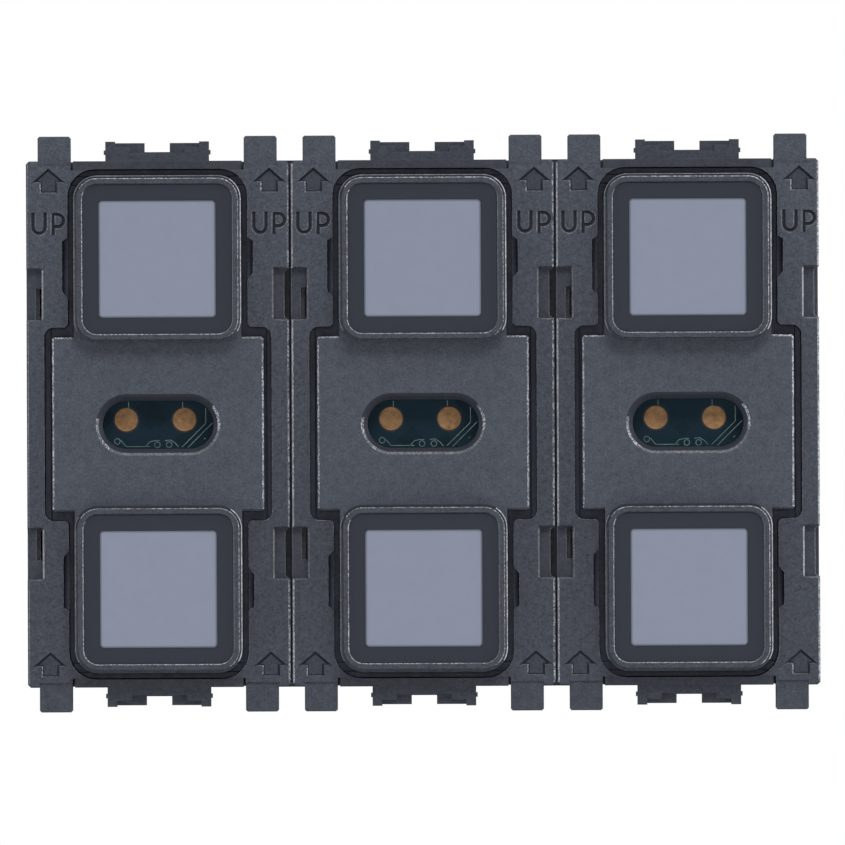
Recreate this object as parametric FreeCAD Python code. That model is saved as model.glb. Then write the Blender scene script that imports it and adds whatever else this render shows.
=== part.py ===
import FreeCAD, Part
import math
import os

os.makedirs("parts", exist_ok=True)

# Touch control panel of three identical modules side by side, for a wall frame.
# All sizes are in millimetres. +X is to the right, +Z is up and the front looks along -Y.
# The origin is the middle of the panel, on the plane where its tabs rest on the wall frame.
# A place named "..._y" is a distance along Y: the front is negative and the back positive.

# Corners below this radius are cut straight between the points where the arc would end
smallest_arc_radius = 0.9

# Row of modules
module_names = ["left", "middle", "right"]
module_pitch = 22.5
module_seam = 0.2

# Front frame: outline, walls and the guide that surrounds the carriage
frame_height = 44.7
frame_corner_radius = 0.25
frame_edge_chamfer = 0.14
frame_proud = 2.6
frame_front_wall = 1.5
frame_side_wall = 1.1
frame_wide_wall = 1.5
frame_skirt_depth = 6.0
guide_wall = 0.9
guide_depth = 3.2
tongue_wall = 0.7

# Tabs that rest on the wall frame
tab_outer_margin = 1.0
tab_width = 2.8
tab_height = 2.1
tab_corner_radius = 0.15
tab_step_depth = 0.25
tab_step_inset = 0.4
tab_edge_chamfer = 0.07

# Snap tongue in the top and bottom wall, with its slits, ears and latch nose
tongue_half_width = 7.15
tongue_slit = 0.2
tongue_root = 0.9
tongue_recess = 0.2
tongue_front_layer = 0.9
tongue_back_layer = 0.9
ear_half_width = 4.4
ear_gap_half = 1.07
ear_bar_height = 0.67
ear_step_start = 2.3
ear_step_height = 1.15
ear_height = 1.53
ear_post_width = 0.83
ear_post_height = 1.65
ear_nub_reach = 0.13
ear_nub_height = 0.37
latch_half_width = 3.6
latch_reach = 0.8
latch_start_y = 1.6
latch_flat = 0.5
latch_length = 2.4

# Opening of the frame around the carriage
opening_corner_radius = 2.3
opening_wide_radius = 0.8
opening_neck_radius = 0.25
turret_side_gap = 0.53
turret_end_gap = 0.55
block_side_gap = 0.68
block_end_gap = 0.83

# Pockets in the opening's edge, in front of the carriage hooks
pocket_depth_x = 0.47
pocket_long_slant = 0.6
pocket_short_slant = 0.3
pocket_floor_y = 0.8
left_pocket_low = 10.7
right_pocket_low = 12.2
pocket_high = 15.83

# Notches in the side edges of the frame
notch_low = 8.87
notch_high = 13.15
notch_reach = 1.3
notch_depth = 0.8
notch_well_reach = 0.53
notch_well_high = 11.55
notch_well_depth = 2.0
notch_strip = 0.4
notch_strip_radius = 0.25

# Sensor carriage: block with a slot, and a square turret above and below it
carriage_wall = 0.9
carriage_inner_radius = 0.4
block_rise = 1.0
block_front_wall = 1.2
block_overlap = 0.49
block_corner_radius = 0.15
block_edge_chamfer = 0.15
turret_rim = 0.75
turret_corner_radius = 2.0
turret_rise = 2.0
turret_front_wall = 1.8
slot_length = 9.45
slot_height = 4.1
slot_flare = 0.45
slot_centre_z = -0.05
slot_depth = 3.2
slot_collar_wall = 0.8

# Hooks that stop the carriage behind the guide
hook_reach = 0.85
hook_stop_clearance = 0.05
hook_length = 1.1
hook_flat = 0.4
hook_side_clearance = 0.5

# Clips in the carriage that hold the sensor board
clip_half_width = 1.5
clip_reach = 0.5
clip_flat = 0.2

# Mask, window and electrode in a turret
mask_border = 1.35
mask_corner_radius = 1.1
mask_clearance = 0.04
mask_recess = 0.2
mask_thickness = 0.5
window_size = 10.0
window_corner_radius = 0.25
window_clearance = 0.03
window_recess = 0.05
diffuser_neck_step = 0.15
diffuser_flange_step = 0.55
diffuser_flange_thickness = 1.0
diffuser_clearance = 0.1
electrode_thickness = 0.2
electrode_inset = 0.35
electrode_leg_width = 1.5
electrode_leg_gap = 0.2
electrode_leg_clearance = 0.08

# Sensor board behind the carriage, and what is on it
sensor_board_thickness = 1.0
sensor_board_clearance = 0.1
sensor_board_corner_radius = 0.4
carriage_rim = 0.8
pad_radius = 0.98
pad_thickness = 0.1
pad_spacing = 4.95
pad_centre_x = -0.26
pad_centre_z = 0.38
led_width = 1.6
led_height = 1.2
led_thickness = 0.7
led_spacing = 5.0
touch_chip_size = 3.6
touch_chip_thickness = 0.9
touch_chip_x = 5.4

# Flat cable from the sensor board to the main board
ribbon_width = 5.0
ribbon_thickness = 0.2
ribbon_overlap = 1.4
ribbon_straight = 3.5
ribbon_fold = 2.0
socket_width = 6.8
socket_length = 3.5
socket_height = 1.4
socket_edge_z = -2.5
socket_chamfer = 0.3

# Folded leaf springs behind the carriage
spring_width = 4.0
spring_thickness = 0.25
spring_inset = 2.6
spring_crest_width = 3.0
spring_foot = 1.2
spring_gap = 0.06

# Carrier plate behind the frames, with its ribs, snap arms and cable windows
plate_margin = 0.3
plate_thickness = 1.2
plate_corner_radius = 0.45
plate_rib_wall = 0.8
plate_rib_height = 1.0
plate_rib_clearance = 0.1
plate_window_clearance = 0.8
snap_arm_width = 2.0
snap_arm_wall = 0.8
snap_arm_clearance = 0.1
snap_window_clearance = 0.2
snap_window_front_y = 3.2
snap_nose_reach = 0.7
snap_nose_length = 1.0

# Main board and its pieces
board_side_clearance = 1.15
board_end_clearance = 0.55
board_thickness = 1.6
board_corner_radius = 0.45
board_standoff = 1.2
controller_size = 10.0
controller_thickness = 1.2
controller_inset_x = 13.5
controller_inset_z = 12.5
bus_chip_width = 7.0
bus_chip_height = 5.0
bus_chip_thickness = 1.4
bus_chip_inset_x = 16.5
bus_chip_inset_z = 9.5
capacitor_radius = 3.15
capacitor_height = 7.5
capacitor_base = 0.9
capacitor_base_margin = 0.15
capacitor_inset_x = 8.5
capacitor_inset_z = 14.5
choke_size = 7.0
choke_height = 3.5
choke_cap_inset = 0.8
choke_cap_height = 0.6
choke_inset_x = 14.5
choke_inset_z = 9.5

# Rear housing
housing_margin = 0.5
housing_depth = 14.8
housing_taper = 0.6
housing_corner_radius = 2.0
housing_wall = 1.5
support_size = 3.0
support_inset = 2.5
housing_clip_width = 5.0
housing_clip_wall = 1.0
housing_clip_clearance = 0.3
housing_clip_length = 5.0
housing_clip_nose_start = 2.6
housing_clip_nose_length = 1.6
housing_clip_nose_reach = 0.9
housing_window_clearance = 0.25

# Bus terminal that plugs into the back
terminal_width = 5.9
terminal_height = 10.2
terminal_length = 11.0
terminal_pitch = 6.0
terminal_z = -8.6
terminal_pocket_depth = 8.0
terminal_pocket_wall = 1.0
terminal_clearance = 0.2
terminal_chamfer = 0.5
wire_hole_radius = 0.55
wire_hole_depth = 7.0
wire_hole_spacing = 2.6
wire_hole_count = 2
wire_hole_shift_z = 1.6
test_slot_width = 3.2
test_slot_height = 1.0
test_slot_depth = 2.0
pin_size = 0.9
pin_length = 9.0
pin_clearance = 0.05
pin_shift_z = -3.2

# Places worked out from the sizes above
frame_half_width = (module_pitch - module_seam) / 2
frame_half_height = frame_height / 2
frame_face_y = -frame_proud
tab_centre_x = frame_half_width - tab_outer_margin - tab_width / 2
window_half = window_size / 2
mask_half = window_half + mask_border
turret_half = mask_half + turret_rim
opening_half_height = frame_half_height - tongue_wall
turret_offset_z = opening_half_height - turret_end_gap - turret_half
opening_neck_half = turret_half + turret_side_gap
spring_span = 2 * (turret_half - spring_inset)
opening_wide_half = frame_half_width - frame_wide_wall
block_half_width = opening_wide_half - block_side_gap
block_half_height = turret_offset_z - turret_half + block_overlap
opening_wide_half_height = block_half_height + block_end_gap
block_face_y = frame_face_y - block_rise
turret_crest_y = block_face_y - turret_rise
mask_front_y = turret_crest_y + mask_recess
mask_back_y = mask_front_y + mask_thickness
ledge_front_y = mask_back_y + electrode_thickness
ledge_back_y = turret_crest_y + turret_front_wall
electrode_leg_offset = window_half + diffuser_flange_step + electrode_leg_gap
sensor_board_front_y = block_face_y + slot_depth
sensor_board_back_y = sensor_board_front_y + sensor_board_thickness
carriage_rim_y = sensor_board_back_y + carriage_rim
hook_front_y = guide_depth + hook_stop_clearance
hook_tip_y = hook_front_y + hook_length
plate_front_y = frame_skirt_depth
plate_back_y = plate_front_y + plate_thickness
board_front_y = plate_back_y + board_standoff
board_back_y = board_front_y + board_thickness
housing_back_y = plate_back_y + housing_depth
housing_floor_y = housing_back_y - housing_wall
pocket_bottom_y = housing_back_y - terminal_pocket_depth
row_half_width = (len(module_names) * module_pitch - module_seam) / 2
housing_half_width = row_half_width - housing_margin
housing_half_height = frame_half_height - housing_margin
housing_clip_outside = housing_half_height - housing_wall - housing_clip_clearance
housing_clip_inside = housing_clip_outside - housing_clip_wall
board_half_width = housing_half_width - housing_wall - board_side_clearance
board_half_height = housing_clip_inside - board_end_clearance
controller_x = controller_inset_x - board_half_width
controller_z = board_half_height - controller_inset_z
bus_chip_x = board_half_width - bus_chip_inset_x
bus_chip_z = board_half_height - bus_chip_inset_z
capacitor_x = board_half_width - capacitor_inset_x
capacitor_z = capacitor_inset_z - board_half_height
choke_x = choke_inset_x - board_half_width
choke_z = choke_inset_z - board_half_height
overshoot = 1.0
far_back_y = housing_back_y + terminal_length
up = FreeCAD.Vector(0, 0, 1)


def vector(x, y, z):
    return FreeCAD.Vector(x, y, z)


def outline_wire(corners, y):
    """Closed outline in a plane across Y, from corners given as (x, z, radius)."""
    count = len(corners)
    starts = []
    ends = []
    middles = []
    for index in range(count):
        x, z, radius = corners[index]
        before = corners[index - 1]
        after = corners[(index + 1) % count]
        here = vector(x, y, z)
        if radius <= 0:
            starts.append(here)
            ends.append(here)
            middles.append(None)
            continue
        to_before = (vector(before[0], y, before[1]) - here).normalize()
        to_after = (vector(after[0], y, after[1]) - here).normalize()
        half_angle = to_before.getAngle(to_after) / 2
        reach = radius / math.tan(half_angle)
        bisector = (to_before + to_after).normalize()
        centre = here + bisector * (radius / math.sin(half_angle))
        starts.append(here + to_before * reach)
        ends.append(here + to_after * reach)
        is_arc = radius >= smallest_arc_radius
        middles.append(centre - bisector * radius if is_arc else None)
    edges = []
    for index in range(count):
        if middles[index] is not None:
            edges.append(Part.Arc(starts[index], middles[index], ends[index]).toShape())
        elif starts[index].distanceToPoint(ends[index]) > 1e-6:
            edges.append(Part.LineSegment(starts[index], ends[index]).toShape())
        line_start = ends[index]
        line_end = starts[(index + 1) % count]
        if line_start.distanceToPoint(line_end) > 1e-6:
            edges.append(Part.LineSegment(line_start, line_end).toShape())
    return Part.Wire(edges)


def prism(corners, front_y, back_y):
    face = Part.Face(outline_wire(corners, front_y))
    return face.extrude(vector(0, back_y - front_y, 0))


def rectangle(half_width, half_height, radius=0.0, centre_x=0.0, centre_z=0.0):
    return [
        (centre_x - half_width, centre_z - half_height, radius),
        (centre_x + half_width, centre_z - half_height, radius),
        (centre_x + half_width, centre_z + half_height, radius),
        (centre_x - half_width, centre_z + half_height, radius),
    ]


def cross(neck_half, neck_high, wide_half, wide_high, end_radius, wide_radius, inner_radius):
    """Plus-shaped outline: a tall narrow bar over a short wide one."""
    right_side = [
        (neck_half, -neck_high, end_radius),
        (neck_half, -wide_high, inner_radius),
        (wide_half, -wide_high, wide_radius),
        (wide_half, wide_high, wide_radius),
        (neck_half, wide_high, inner_radius),
        (neck_half, neck_high, end_radius),
    ]
    left_side = [(-x, z, radius) for x, z, radius in reversed(right_side)]
    return right_side + left_side


def box_between(x_low, x_high, y_low, y_high, z_low, z_high):
    corner = vector(x_low, y_low, z_low)
    return Part.makeBox(x_high - x_low, y_high - y_low, z_high - z_low, corner)


def rod(radius, front_y, back_y, x, z):
    return Part.makeCylinder(radius, back_y - front_y, vector(x, front_y, z), vector(0, 1, 0))


def profile_along_x(points, x_low, x_high):
    """Prism along X of a closed outline given as (y, z) points."""
    corners = [vector(x_low, y, z) for y, z in points]
    face = Part.Face(Part.makePolygon(corners + corners[:1]))
    return face.extrude(vector(x_high - x_low, 0, 0))


def profile_along_z(points, z_low, z_high):
    """Prism along Z of a closed outline given as (x, y) points."""
    corners = [vector(x, y, z_low) for x, y in points]
    face = Part.Face(Part.makePolygon(corners + corners[:1]))
    return face.extrude(vector(0, 0, z_high - z_low))


def folded_strip(points, thickness, width):
    """Bent sheet strip, centred on X, whose middle line runs through (y, z) points."""
    line = Part.makePolygon([vector(-width / 2, y, z) for y, z in points])
    half = thickness / 2
    one_side = line.makeOffset2D(half, 2, False, True)
    other_side = line.makeOffset2D(-half, 2, False, True)
    corners = [vertex.Point for vertex in one_side.OrderedVertexes]
    back = [vertex.Point for vertex in other_side.OrderedVertexes]
    if corners[-1].distanceToPoint(back[0]) < corners[-1].distanceToPoint(back[-1]):
        corners += back
    else:
        corners += back[::-1]
    face = Part.Face(Part.makePolygon(corners + corners[:1]))
    return face.extrude(vector(width, 0, 0))


def mirrored(shape, normal):
    return shape.mirror(vector(0, 0, 0), normal)


def above_and_below(shapes):
    """The shapes, and their mirror images below the middle of the panel."""
    return shapes + [mirrored(shape, up) for shape in shapes]


def moved(shape, x):
    copy = shape.copy()
    copy.translate(vector(x, 0, 0))
    return copy


def edges_at_y(shape, y):
    found = []
    for edge in shape.Edges:
        box = edge.BoundBox
        if abs(box.YMin - y) < 1e-4 and abs(box.YMax - y) < 1e-4:
            found.append(edge)
    return found


def chamfered_at(shape, y, size):
    return shape.makeChamfer(size, edges_at_y(shape, y))


def module_places():
    middle = (len(module_names) - 1) / 2
    return [(index - middle) * module_pitch for index in range(len(module_names))]


# Front frame
def frame_body():
    """Shell of the frame, open at the back, with the guide that surrounds the carriage."""
    outline = rectangle(frame_half_width, frame_half_height, frame_corner_radius)
    body = prism(outline, frame_face_y, frame_skirt_depth)
    body = chamfered_at(body, frame_face_y, frame_edge_chamfer)
    cavity_front_y = frame_face_y + frame_front_wall
    inner_width = frame_half_width - frame_side_wall
    inner_height = frame_half_height - frame_side_wall
    cavity = prism(rectangle(inner_width, inner_height), cavity_front_y, far_back_y)
    tongue_room = prism(rectangle(tongue_half_width, opening_half_height), cavity_front_y, far_back_y)
    body = body.cut([cavity, tongue_room])
    guide_outline = cross(
        opening_neck_half + guide_wall,
        opening_half_height,
        frame_half_width - frame_side_wall / 2,
        opening_wide_half_height + guide_wall,
        0.0,
        0.0,
        0.0,
    )
    return body.fuse(prism(guide_outline, cavity_front_y, guide_depth))


def frame_opening():
    outline = cross(
        opening_neck_half,
        opening_half_height,
        opening_wide_half,
        opening_wide_half_height,
        opening_corner_radius,
        opening_wide_radius,
        opening_neck_radius,
    )
    return prism(outline, frame_face_y - overshoot, far_back_y)


def hook_pocket(side, low):
    """Pocket in the opening's edge, with slanted ends."""
    inner = side * (opening_neck_half - turret_side_gap / 2)
    edge = side * opening_neck_half
    outer = side * (opening_neck_half + pocket_depth_x)
    outline = [
        (inner, low, 0.0),
        (edge, low, 0.0),
        (outer, low + pocket_long_slant, 0.0),
        (outer, pocket_high - pocket_short_slant, 0.0),
        (edge, pocket_high, 0.0),
        (inner, pocket_high, 0.0),
    ]
    return prism(outline, frame_face_y - overshoot, pocket_floor_y)


def side_notches():
    """Stepped notch in the left edge, and a notch with a cut-off strip in the right edge."""
    outside = frame_half_width + overshoot
    inside = frame_half_width - notch_reach
    start_y = frame_face_y - overshoot
    floor_y = frame_face_y + notch_depth
    well_floor_y = frame_face_y + notch_well_depth
    left = box_between(-outside, -inside, start_y, floor_y, notch_low, notch_high)
    well_x = -inside - notch_well_reach
    well = box_between(well_x, -inside, start_y, well_floor_y, notch_low, notch_well_high)
    right = box_between(inside, outside, start_y, floor_y, notch_low, notch_high)
    strip_outline = rectangle(
        overshoot,
        (notch_high - notch_low) / 2,
        notch_strip_radius,
        frame_half_width - notch_strip + overshoot,
        (notch_low + notch_high) / 2,
    )
    strip = prism(strip_outline, start_y, guide_depth)
    return [left, well, right, strip]


def tab(side):
    """Rounded tab above the frame, its front a small step below the frame's face."""
    low = frame_half_height - frame_side_wall / 2
    high = frame_half_height + tab_height
    left_x = side * tab_centre_x - tab_width / 2
    right_x = side * tab_centre_x + tab_width / 2
    outline = [
        (left_x, low, 0.0),
        (right_x, low, 0.0),
        (right_x, high, tab_corner_radius),
        (left_x, high, tab_corner_radius),
    ]
    front_y = frame_face_y + tab_step_depth
    return chamfered_at(prism(outline, front_y, 0.0), front_y, tab_edge_chamfer)


def tab_step(side):
    """Shallow step where the tab's front runs into the frame's face."""
    low = frame_half_height - tab_step_inset
    high = frame_half_height + overshoot
    centre = side * tab_centre_x
    half = tab_width / 2
    start_y = frame_face_y - overshoot
    return box_between(centre - half, centre + half, start_y, frame_face_y + tab_step_depth, low, high)


def tongue_ears():
    """Two-layer grip on the outside of the snap tongue."""
    root = frame_half_height - tongue_wall / 2
    bar = frame_half_height + ear_bar_height
    step = frame_half_height + ear_step_height
    ear = frame_half_height + ear_height
    post = frame_half_height + ear_post_height
    post_inner = ear_half_width - ear_post_width
    nub_low = bar - ear_nub_height / 3
    nub_high = nub_low + ear_nub_height
    side = [
        (ear_half_width, root, 0.0),
        (ear_half_width, nub_low, 0.0),
        (ear_half_width + ear_nub_reach, nub_low, 0.0),
        (ear_half_width + ear_nub_reach, nub_high, 0.0),
        (ear_half_width, nub_high, 0.0),
        (ear_half_width, post, 0.0),
        (post_inner, post, 0.0),
    ]
    front = side + [(post_inner, step, 0.0), (ear_step_start, step, 0.0)]
    front += [(ear_step_start, bar, 0.0)]
    back = side + [(post_inner, ear, 0.0), (ear_gap_half, ear, 0.0)]
    back += [(ear_gap_half, bar, 0.0)]
    front_y = frame_face_y + tongue_recess
    middle_y = front_y + tongue_front_layer
    back_y = middle_y + tongue_back_layer
    layers = []
    for half, low_y, high_y in ((front, front_y, middle_y), (back, middle_y, back_y)):
        other_half = [(-x, z, radius) for x, z, radius in reversed(half)]
        layers.append(prism(half + other_half, low_y, high_y))
    return layers


def tongue_latch():
    """Wedge on the outside of the tongue that snaps behind the wall frame."""
    root = frame_half_height - tongue_wall / 2
    crest = frame_half_height + latch_reach
    end_y = latch_start_y + latch_length
    flat_y = latch_start_y + latch_flat
    points = [
        (latch_start_y, root),
        (latch_start_y, crest),
        (flat_y, crest),
        (end_y, frame_half_height),
        (end_y, root),
    ]
    return profile_along_x(points, -latch_half_width, latch_half_width)


def tongue_slits():
    """Slits that free the tongue's sides and stop short of its root at the back of the skirt."""
    low = opening_half_height - tongue_slit / 4
    high = frame_half_height + overshoot
    start_y = frame_face_y - overshoot
    end_y = frame_skirt_depth - tongue_root
    width = tongue_half_width + tongue_slit
    return [
        box_between(tongue_half_width, width, start_y, end_y, low, high),
        box_between(-width, -tongue_half_width, start_y, end_y, low, high),
    ]


def snap_windows():
    """Openings in the skirt for the noses of the carrier plate's snap arms."""
    half = snap_arm_width / 2 + snap_window_clearance
    back_y = snap_window_front_y + snap_nose_length + 2 * snap_window_clearance
    low = frame_half_height - frame_side_wall - overshoot
    high = frame_half_height + overshoot
    windows = []
    for centre in (-tab_centre_x, tab_centre_x):
        left_x = centre - half
        right_x = centre + half
        windows.append(box_between(left_x, right_x, snap_window_front_y, back_y, low, high))
    return windows


def front_frame():
    added = above_and_below([tab(-1), tab(1), tongue_latch()] + tongue_ears())
    body = frame_body().fuse(added)
    removed = [tab_step(-1), tab_step(1)]
    removed += [hook_pocket(-1, left_pocket_low), hook_pocket(1, right_pocket_low)]
    removed += side_notches() + tongue_slits() + snap_windows()
    return body.cut([frame_opening()] + above_and_below(removed)).removeSplitter()


# Sensor carriage
def turret(centre_z):
    """Square turret with rounded corners."""
    outline = rectangle(turret_half, turret_half, turret_corner_radius, 0.0, centre_z)
    return prism(outline, turret_crest_y, carriage_rim_y)


def shoulder():
    """Square foot of both turrets, flush with the block's face."""
    return box_between(
        -turret_half, turret_half, block_face_y, carriage_rim_y, -turret_offset_z, turret_offset_z
    )


def turret_hollow(centre_z):
    """Room for the mask, the opening in the ledge behind it, and the hollow behind the ledge."""
    mask_outline = rectangle(mask_half, mask_half, mask_corner_radius, 0.0, centre_z)
    neck_half = window_half + diffuser_neck_step + diffuser_clearance
    neck_outline = rectangle(neck_half, neck_half, 0.0, 0.0, centre_z)
    inner_half = turret_half - carriage_wall
    inner_outline = rectangle(inner_half, inner_half, carriage_inner_radius, 0.0, centre_z)
    leg_half = electrode_leg_width / 2 + electrode_leg_clearance
    leg_low = centre_z + electrode_leg_offset - electrode_leg_clearance
    leg_high = centre_z + electrode_leg_offset + electrode_thickness + electrode_leg_clearance
    return [
        prism(mask_outline, turret_crest_y - overshoot, ledge_front_y),
        prism(neck_outline, mask_front_y, ledge_back_y + overshoot / 4),
        prism(inner_outline, ledge_back_y, far_back_y),
        box_between(-leg_half, leg_half, mask_front_y, ledge_back_y + overshoot / 4, leg_low, leg_high),
    ]


def sensor_board_outline(grow=0.0):
    """Plus-shaped outline of the sensor board inside the carriage."""
    clear = carriage_wall + sensor_board_clearance - grow
    return cross(
        turret_half - clear,
        turret_offset_z + turret_half - clear,
        block_half_width - clear,
        block_half_height - clear,
        sensor_board_corner_radius,
        0.0,
        0.0,
    )


def hook(side, low, high):
    """Arm behind the turret wall, with a nose that stops behind the guide."""
    points = [
        (side * (turret_half - carriage_wall), sensor_board_back_y),
        (side * turret_half, sensor_board_back_y),
        (side * turret_half, hook_front_y),
        (side * (turret_half + hook_reach), hook_front_y),
        (side * (turret_half + hook_reach), hook_front_y + hook_flat),
        (side * (turret_half - carriage_wall / 2), hook_tip_y),
        (side * (turret_half - carriage_wall), hook_tip_y),
    ]
    return profile_along_z(points, low + hook_side_clearance, high - hook_side_clearance)


def board_clip(side):
    """Small nose on the inner wall that snaps behind the sensor board."""
    wall_x = block_half_width - carriage_wall / 2
    nose_x = block_half_width - carriage_wall - clip_reach
    points = [
        (side * wall_x, sensor_board_back_y),
        (side * nose_x, sensor_board_back_y),
        (side * nose_x, sensor_board_back_y + clip_flat),
        (side * (block_half_width - carriage_wall), carriage_rim_y),
        (side * wall_x, carriage_rim_y),
    ]
    return profile_along_z(points, -clip_half_width, clip_half_width)


def slot_outline():
    """Oblong with round ends."""
    half_height = slot_height / 2
    half_length = slot_length / 2
    almost_half = half_height - 1e-3
    return rectangle(half_length, half_height, almost_half, 0.0, slot_centre_z)


def slot_rim(shape):
    found = []
    for edge in edges_at_y(shape, block_face_y):
        box = edge.BoundBox
        if box.XMin > -slot_length / 2 - 0.1 and box.XMax < slot_length / 2 + 0.1:
            if box.ZMin > slot_centre_z - slot_height / 2 - 0.1 and box.ZMax < slot_height / 2 + 0.1:
                found.append(edge)
    return found


def sensor_carriage():
    block_outline = rectangle(block_half_width, block_half_height, block_corner_radius)
    block = chamfered_at(
        prism(block_outline, block_face_y, carriage_rim_y), block_face_y, block_edge_chamfer
    )
    body = block.fuse([shoulder(), turret(turret_offset_z), turret(-turret_offset_z)])
    inside = rectangle(block_half_width - carriage_wall, block_half_height - carriage_wall)
    hollows = [
        prism(inside, block_face_y + block_front_wall, far_back_y),
        prism(sensor_board_outline(sensor_board_clearance), sensor_board_front_y, far_back_y),
    ]
    hollows += turret_hollow(turret_offset_z) + turret_hollow(-turret_offset_z)
    body = body.cut(hollows)
    collar_outline = rectangle(
        slot_length / 2 + slot_collar_wall, slot_height / 2 + slot_collar_wall, 0.0, 0.0, slot_centre_z
    )
    collar = prism(collar_outline, block_face_y + block_front_wall / 2, sensor_board_front_y)
    hooks = [hook(-1, left_pocket_low, pocket_high), hook(1, right_pocket_low, pocket_high)]
    body = body.fuse([collar, board_clip(-1), board_clip(1)] + above_and_below(hooks))
    slot = prism(slot_outline(), block_face_y - overshoot, sensor_board_front_y)
    body = body.cut([slot])
    return body.makeChamfer(slot_flare, slot_rim(body)).removeSplitter()


# Pieces in a turret
def mask(centre_z):
    half = mask_half - mask_clearance
    outline = rectangle(half, half, mask_corner_radius - mask_clearance, 0.0, centre_z)
    window_outline = rectangle(window_half, window_half, window_corner_radius, 0.0, centre_z)
    window = prism(window_outline, mask_front_y - overshoot, mask_back_y + overshoot)
    return prism(outline, mask_front_y, mask_back_y).cut([window])


def diffuser(centre_z):
    """Window block: a boss in the mask, a neck in the ledge and a flange behind it."""
    boss_half = window_half - window_clearance
    neck_half = window_half + diffuser_neck_step
    flange_half = window_half + diffuser_flange_step
    boss_outline = rectangle(boss_half, boss_half, window_corner_radius, 0.0, centre_z)
    boss = prism(boss_outline, mask_front_y + window_recess, mask_back_y)
    neck = prism(rectangle(neck_half, neck_half, 0.0, 0.0, centre_z), mask_back_y, ledge_back_y)
    flange_outline = rectangle(flange_half, flange_half, 0.0, 0.0, centre_z)
    flange = prism(flange_outline, ledge_back_y, ledge_back_y + diffuser_flange_thickness)
    return boss.fuse([neck, flange]).removeSplitter()


def touch_electrode(centre_z):
    """Thin ring behind the mask, with a leg that reaches the sensor board."""
    outer = mask_half - electrode_inset
    inner = window_half + diffuser_neck_step + diffuser_clearance
    ring = prism(rectangle(outer, outer, 0.0, 0.0, centre_z), mask_back_y, ledge_front_y)
    hole_outline = rectangle(inner, inner, 0.0, 0.0, centre_z)
    hole = prism(hole_outline, mask_back_y - overshoot, ledge_front_y + overshoot)
    leg_z = centre_z + electrode_leg_offset
    leg_half = electrode_leg_width / 2
    leg = box_between(
        -leg_half, leg_half, mask_back_y, sensor_board_front_y, leg_z, leg_z + electrode_thickness
    )
    return ring.cut([hole]).fuse([leg]).removeSplitter()


# Sensor board and what is on it
def sensor_board():
    return prism(sensor_board_outline(), sensor_board_front_y, sensor_board_back_y)


def contact_pads():
    pads = []
    for side in (-1, 1):
        x = pad_centre_x + side * pad_spacing / 2
        front_y = sensor_board_front_y - pad_thickness
        pads.append(rod(pad_radius, front_y, sensor_board_front_y, x, pad_centre_z))
    return pads


def window_leds():
    leds = []
    front_y = sensor_board_front_y - led_thickness
    for centre_z in (-turret_offset_z, turret_offset_z):
        for side in (-1, 1):
            outline = rectangle(led_width / 2, led_height / 2, 0.0, side * led_spacing / 2, centre_z)
            leds.append(prism(outline, front_y, sensor_board_front_y))
    return leds


def chip(width, height, front_y, thickness, x, z):
    """Flat chip with a bevelled top, seated on a board's back."""
    back_y = front_y + thickness
    body = prism(rectangle(width / 2, height / 2, 0.0, x, z), front_y, back_y)
    return chamfered_at(body, back_y, thickness / 5)


# Flat cable and its sockets
def ribbon_socket(front_y):
    """Low socket with a slot for the flat cable in its upper side."""
    back_y = front_y + socket_height
    low = socket_edge_z - socket_length
    body = box_between(-socket_width / 2, socket_width / 2, front_y, back_y, low, socket_edge_z)
    corners = [edge for edge in body.Edges if abs(edge.BoundBox.YLength - socket_height) < 1e-4]
    body = body.makeChamfer(socket_chamfer, corners)
    middle_y = (front_y + back_y) / 2
    half = ribbon_thickness / 2
    mouth_low = socket_edge_z - ribbon_overlap
    mouth_high = socket_edge_z + overshoot
    half_width = ribbon_width / 2
    mouth = box_between(
        -half_width, half_width, middle_y - half, middle_y + half, mouth_low, mouth_high
    )
    return body.cut([mouth])


def ribbon_cable():
    """Flat strip that folds back on itself between the two sockets."""
    near_y = sensor_board_back_y + socket_height / 2
    far_y = board_front_y - socket_height / 2
    start_z = socket_edge_z - ribbon_overlap
    bend_z = socket_edge_z + ribbon_straight
    points = [
        (near_y, start_z),
        (near_y, bend_z),
        (near_y + ribbon_fold, bend_z + ribbon_fold),
        (far_y - ribbon_fold, bend_z + ribbon_fold),
        (far_y, bend_z),
        (far_y, start_z),
    ]
    return folded_strip(points, ribbon_thickness, ribbon_width)


# Folded leaf springs
def return_spring(centre_z):
    """Strip folded towards the sensor board, with two flat feet on the carrier plate."""
    crest_y = sensor_board_back_y + spring_gap + spring_thickness / 2
    foot_y = plate_front_y - spring_thickness / 2
    half_crest = spring_crest_width / 2
    half_span = spring_span / 2
    end = half_span + spring_foot
    points = [
        (foot_y, centre_z - end),
        (foot_y, centre_z - half_span),
        (crest_y, centre_z - half_crest),
        (crest_y, centre_z + half_crest),
        (foot_y, centre_z + half_span),
        (foot_y, centre_z + end),
    ]
    return folded_strip(points, spring_thickness, spring_width)


# Carrier plate
def snap_arm(side):
    """Arm that reaches into a frame's skirt and snaps into its window."""
    outside = frame_half_height - frame_side_wall - snap_arm_clearance
    inside = outside - snap_arm_wall
    nose_front_y = snap_window_front_y + snap_window_clearance
    nose_back_y = nose_front_y + snap_nose_length
    nose = outside + snap_nose_reach
    root_y = plate_front_y + plate_thickness / 2
    points = [
        (root_y, inside),
        (nose_front_y, inside),
        (nose_front_y, outside),
        (nose_back_y - snap_nose_length / 3, nose),
        (nose_back_y, nose),
        (nose_back_y, outside),
        (root_y, outside),
    ]
    centre = side * tab_centre_x
    half = snap_arm_width / 2
    return profile_along_x(points, centre - half, centre + half)


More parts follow.
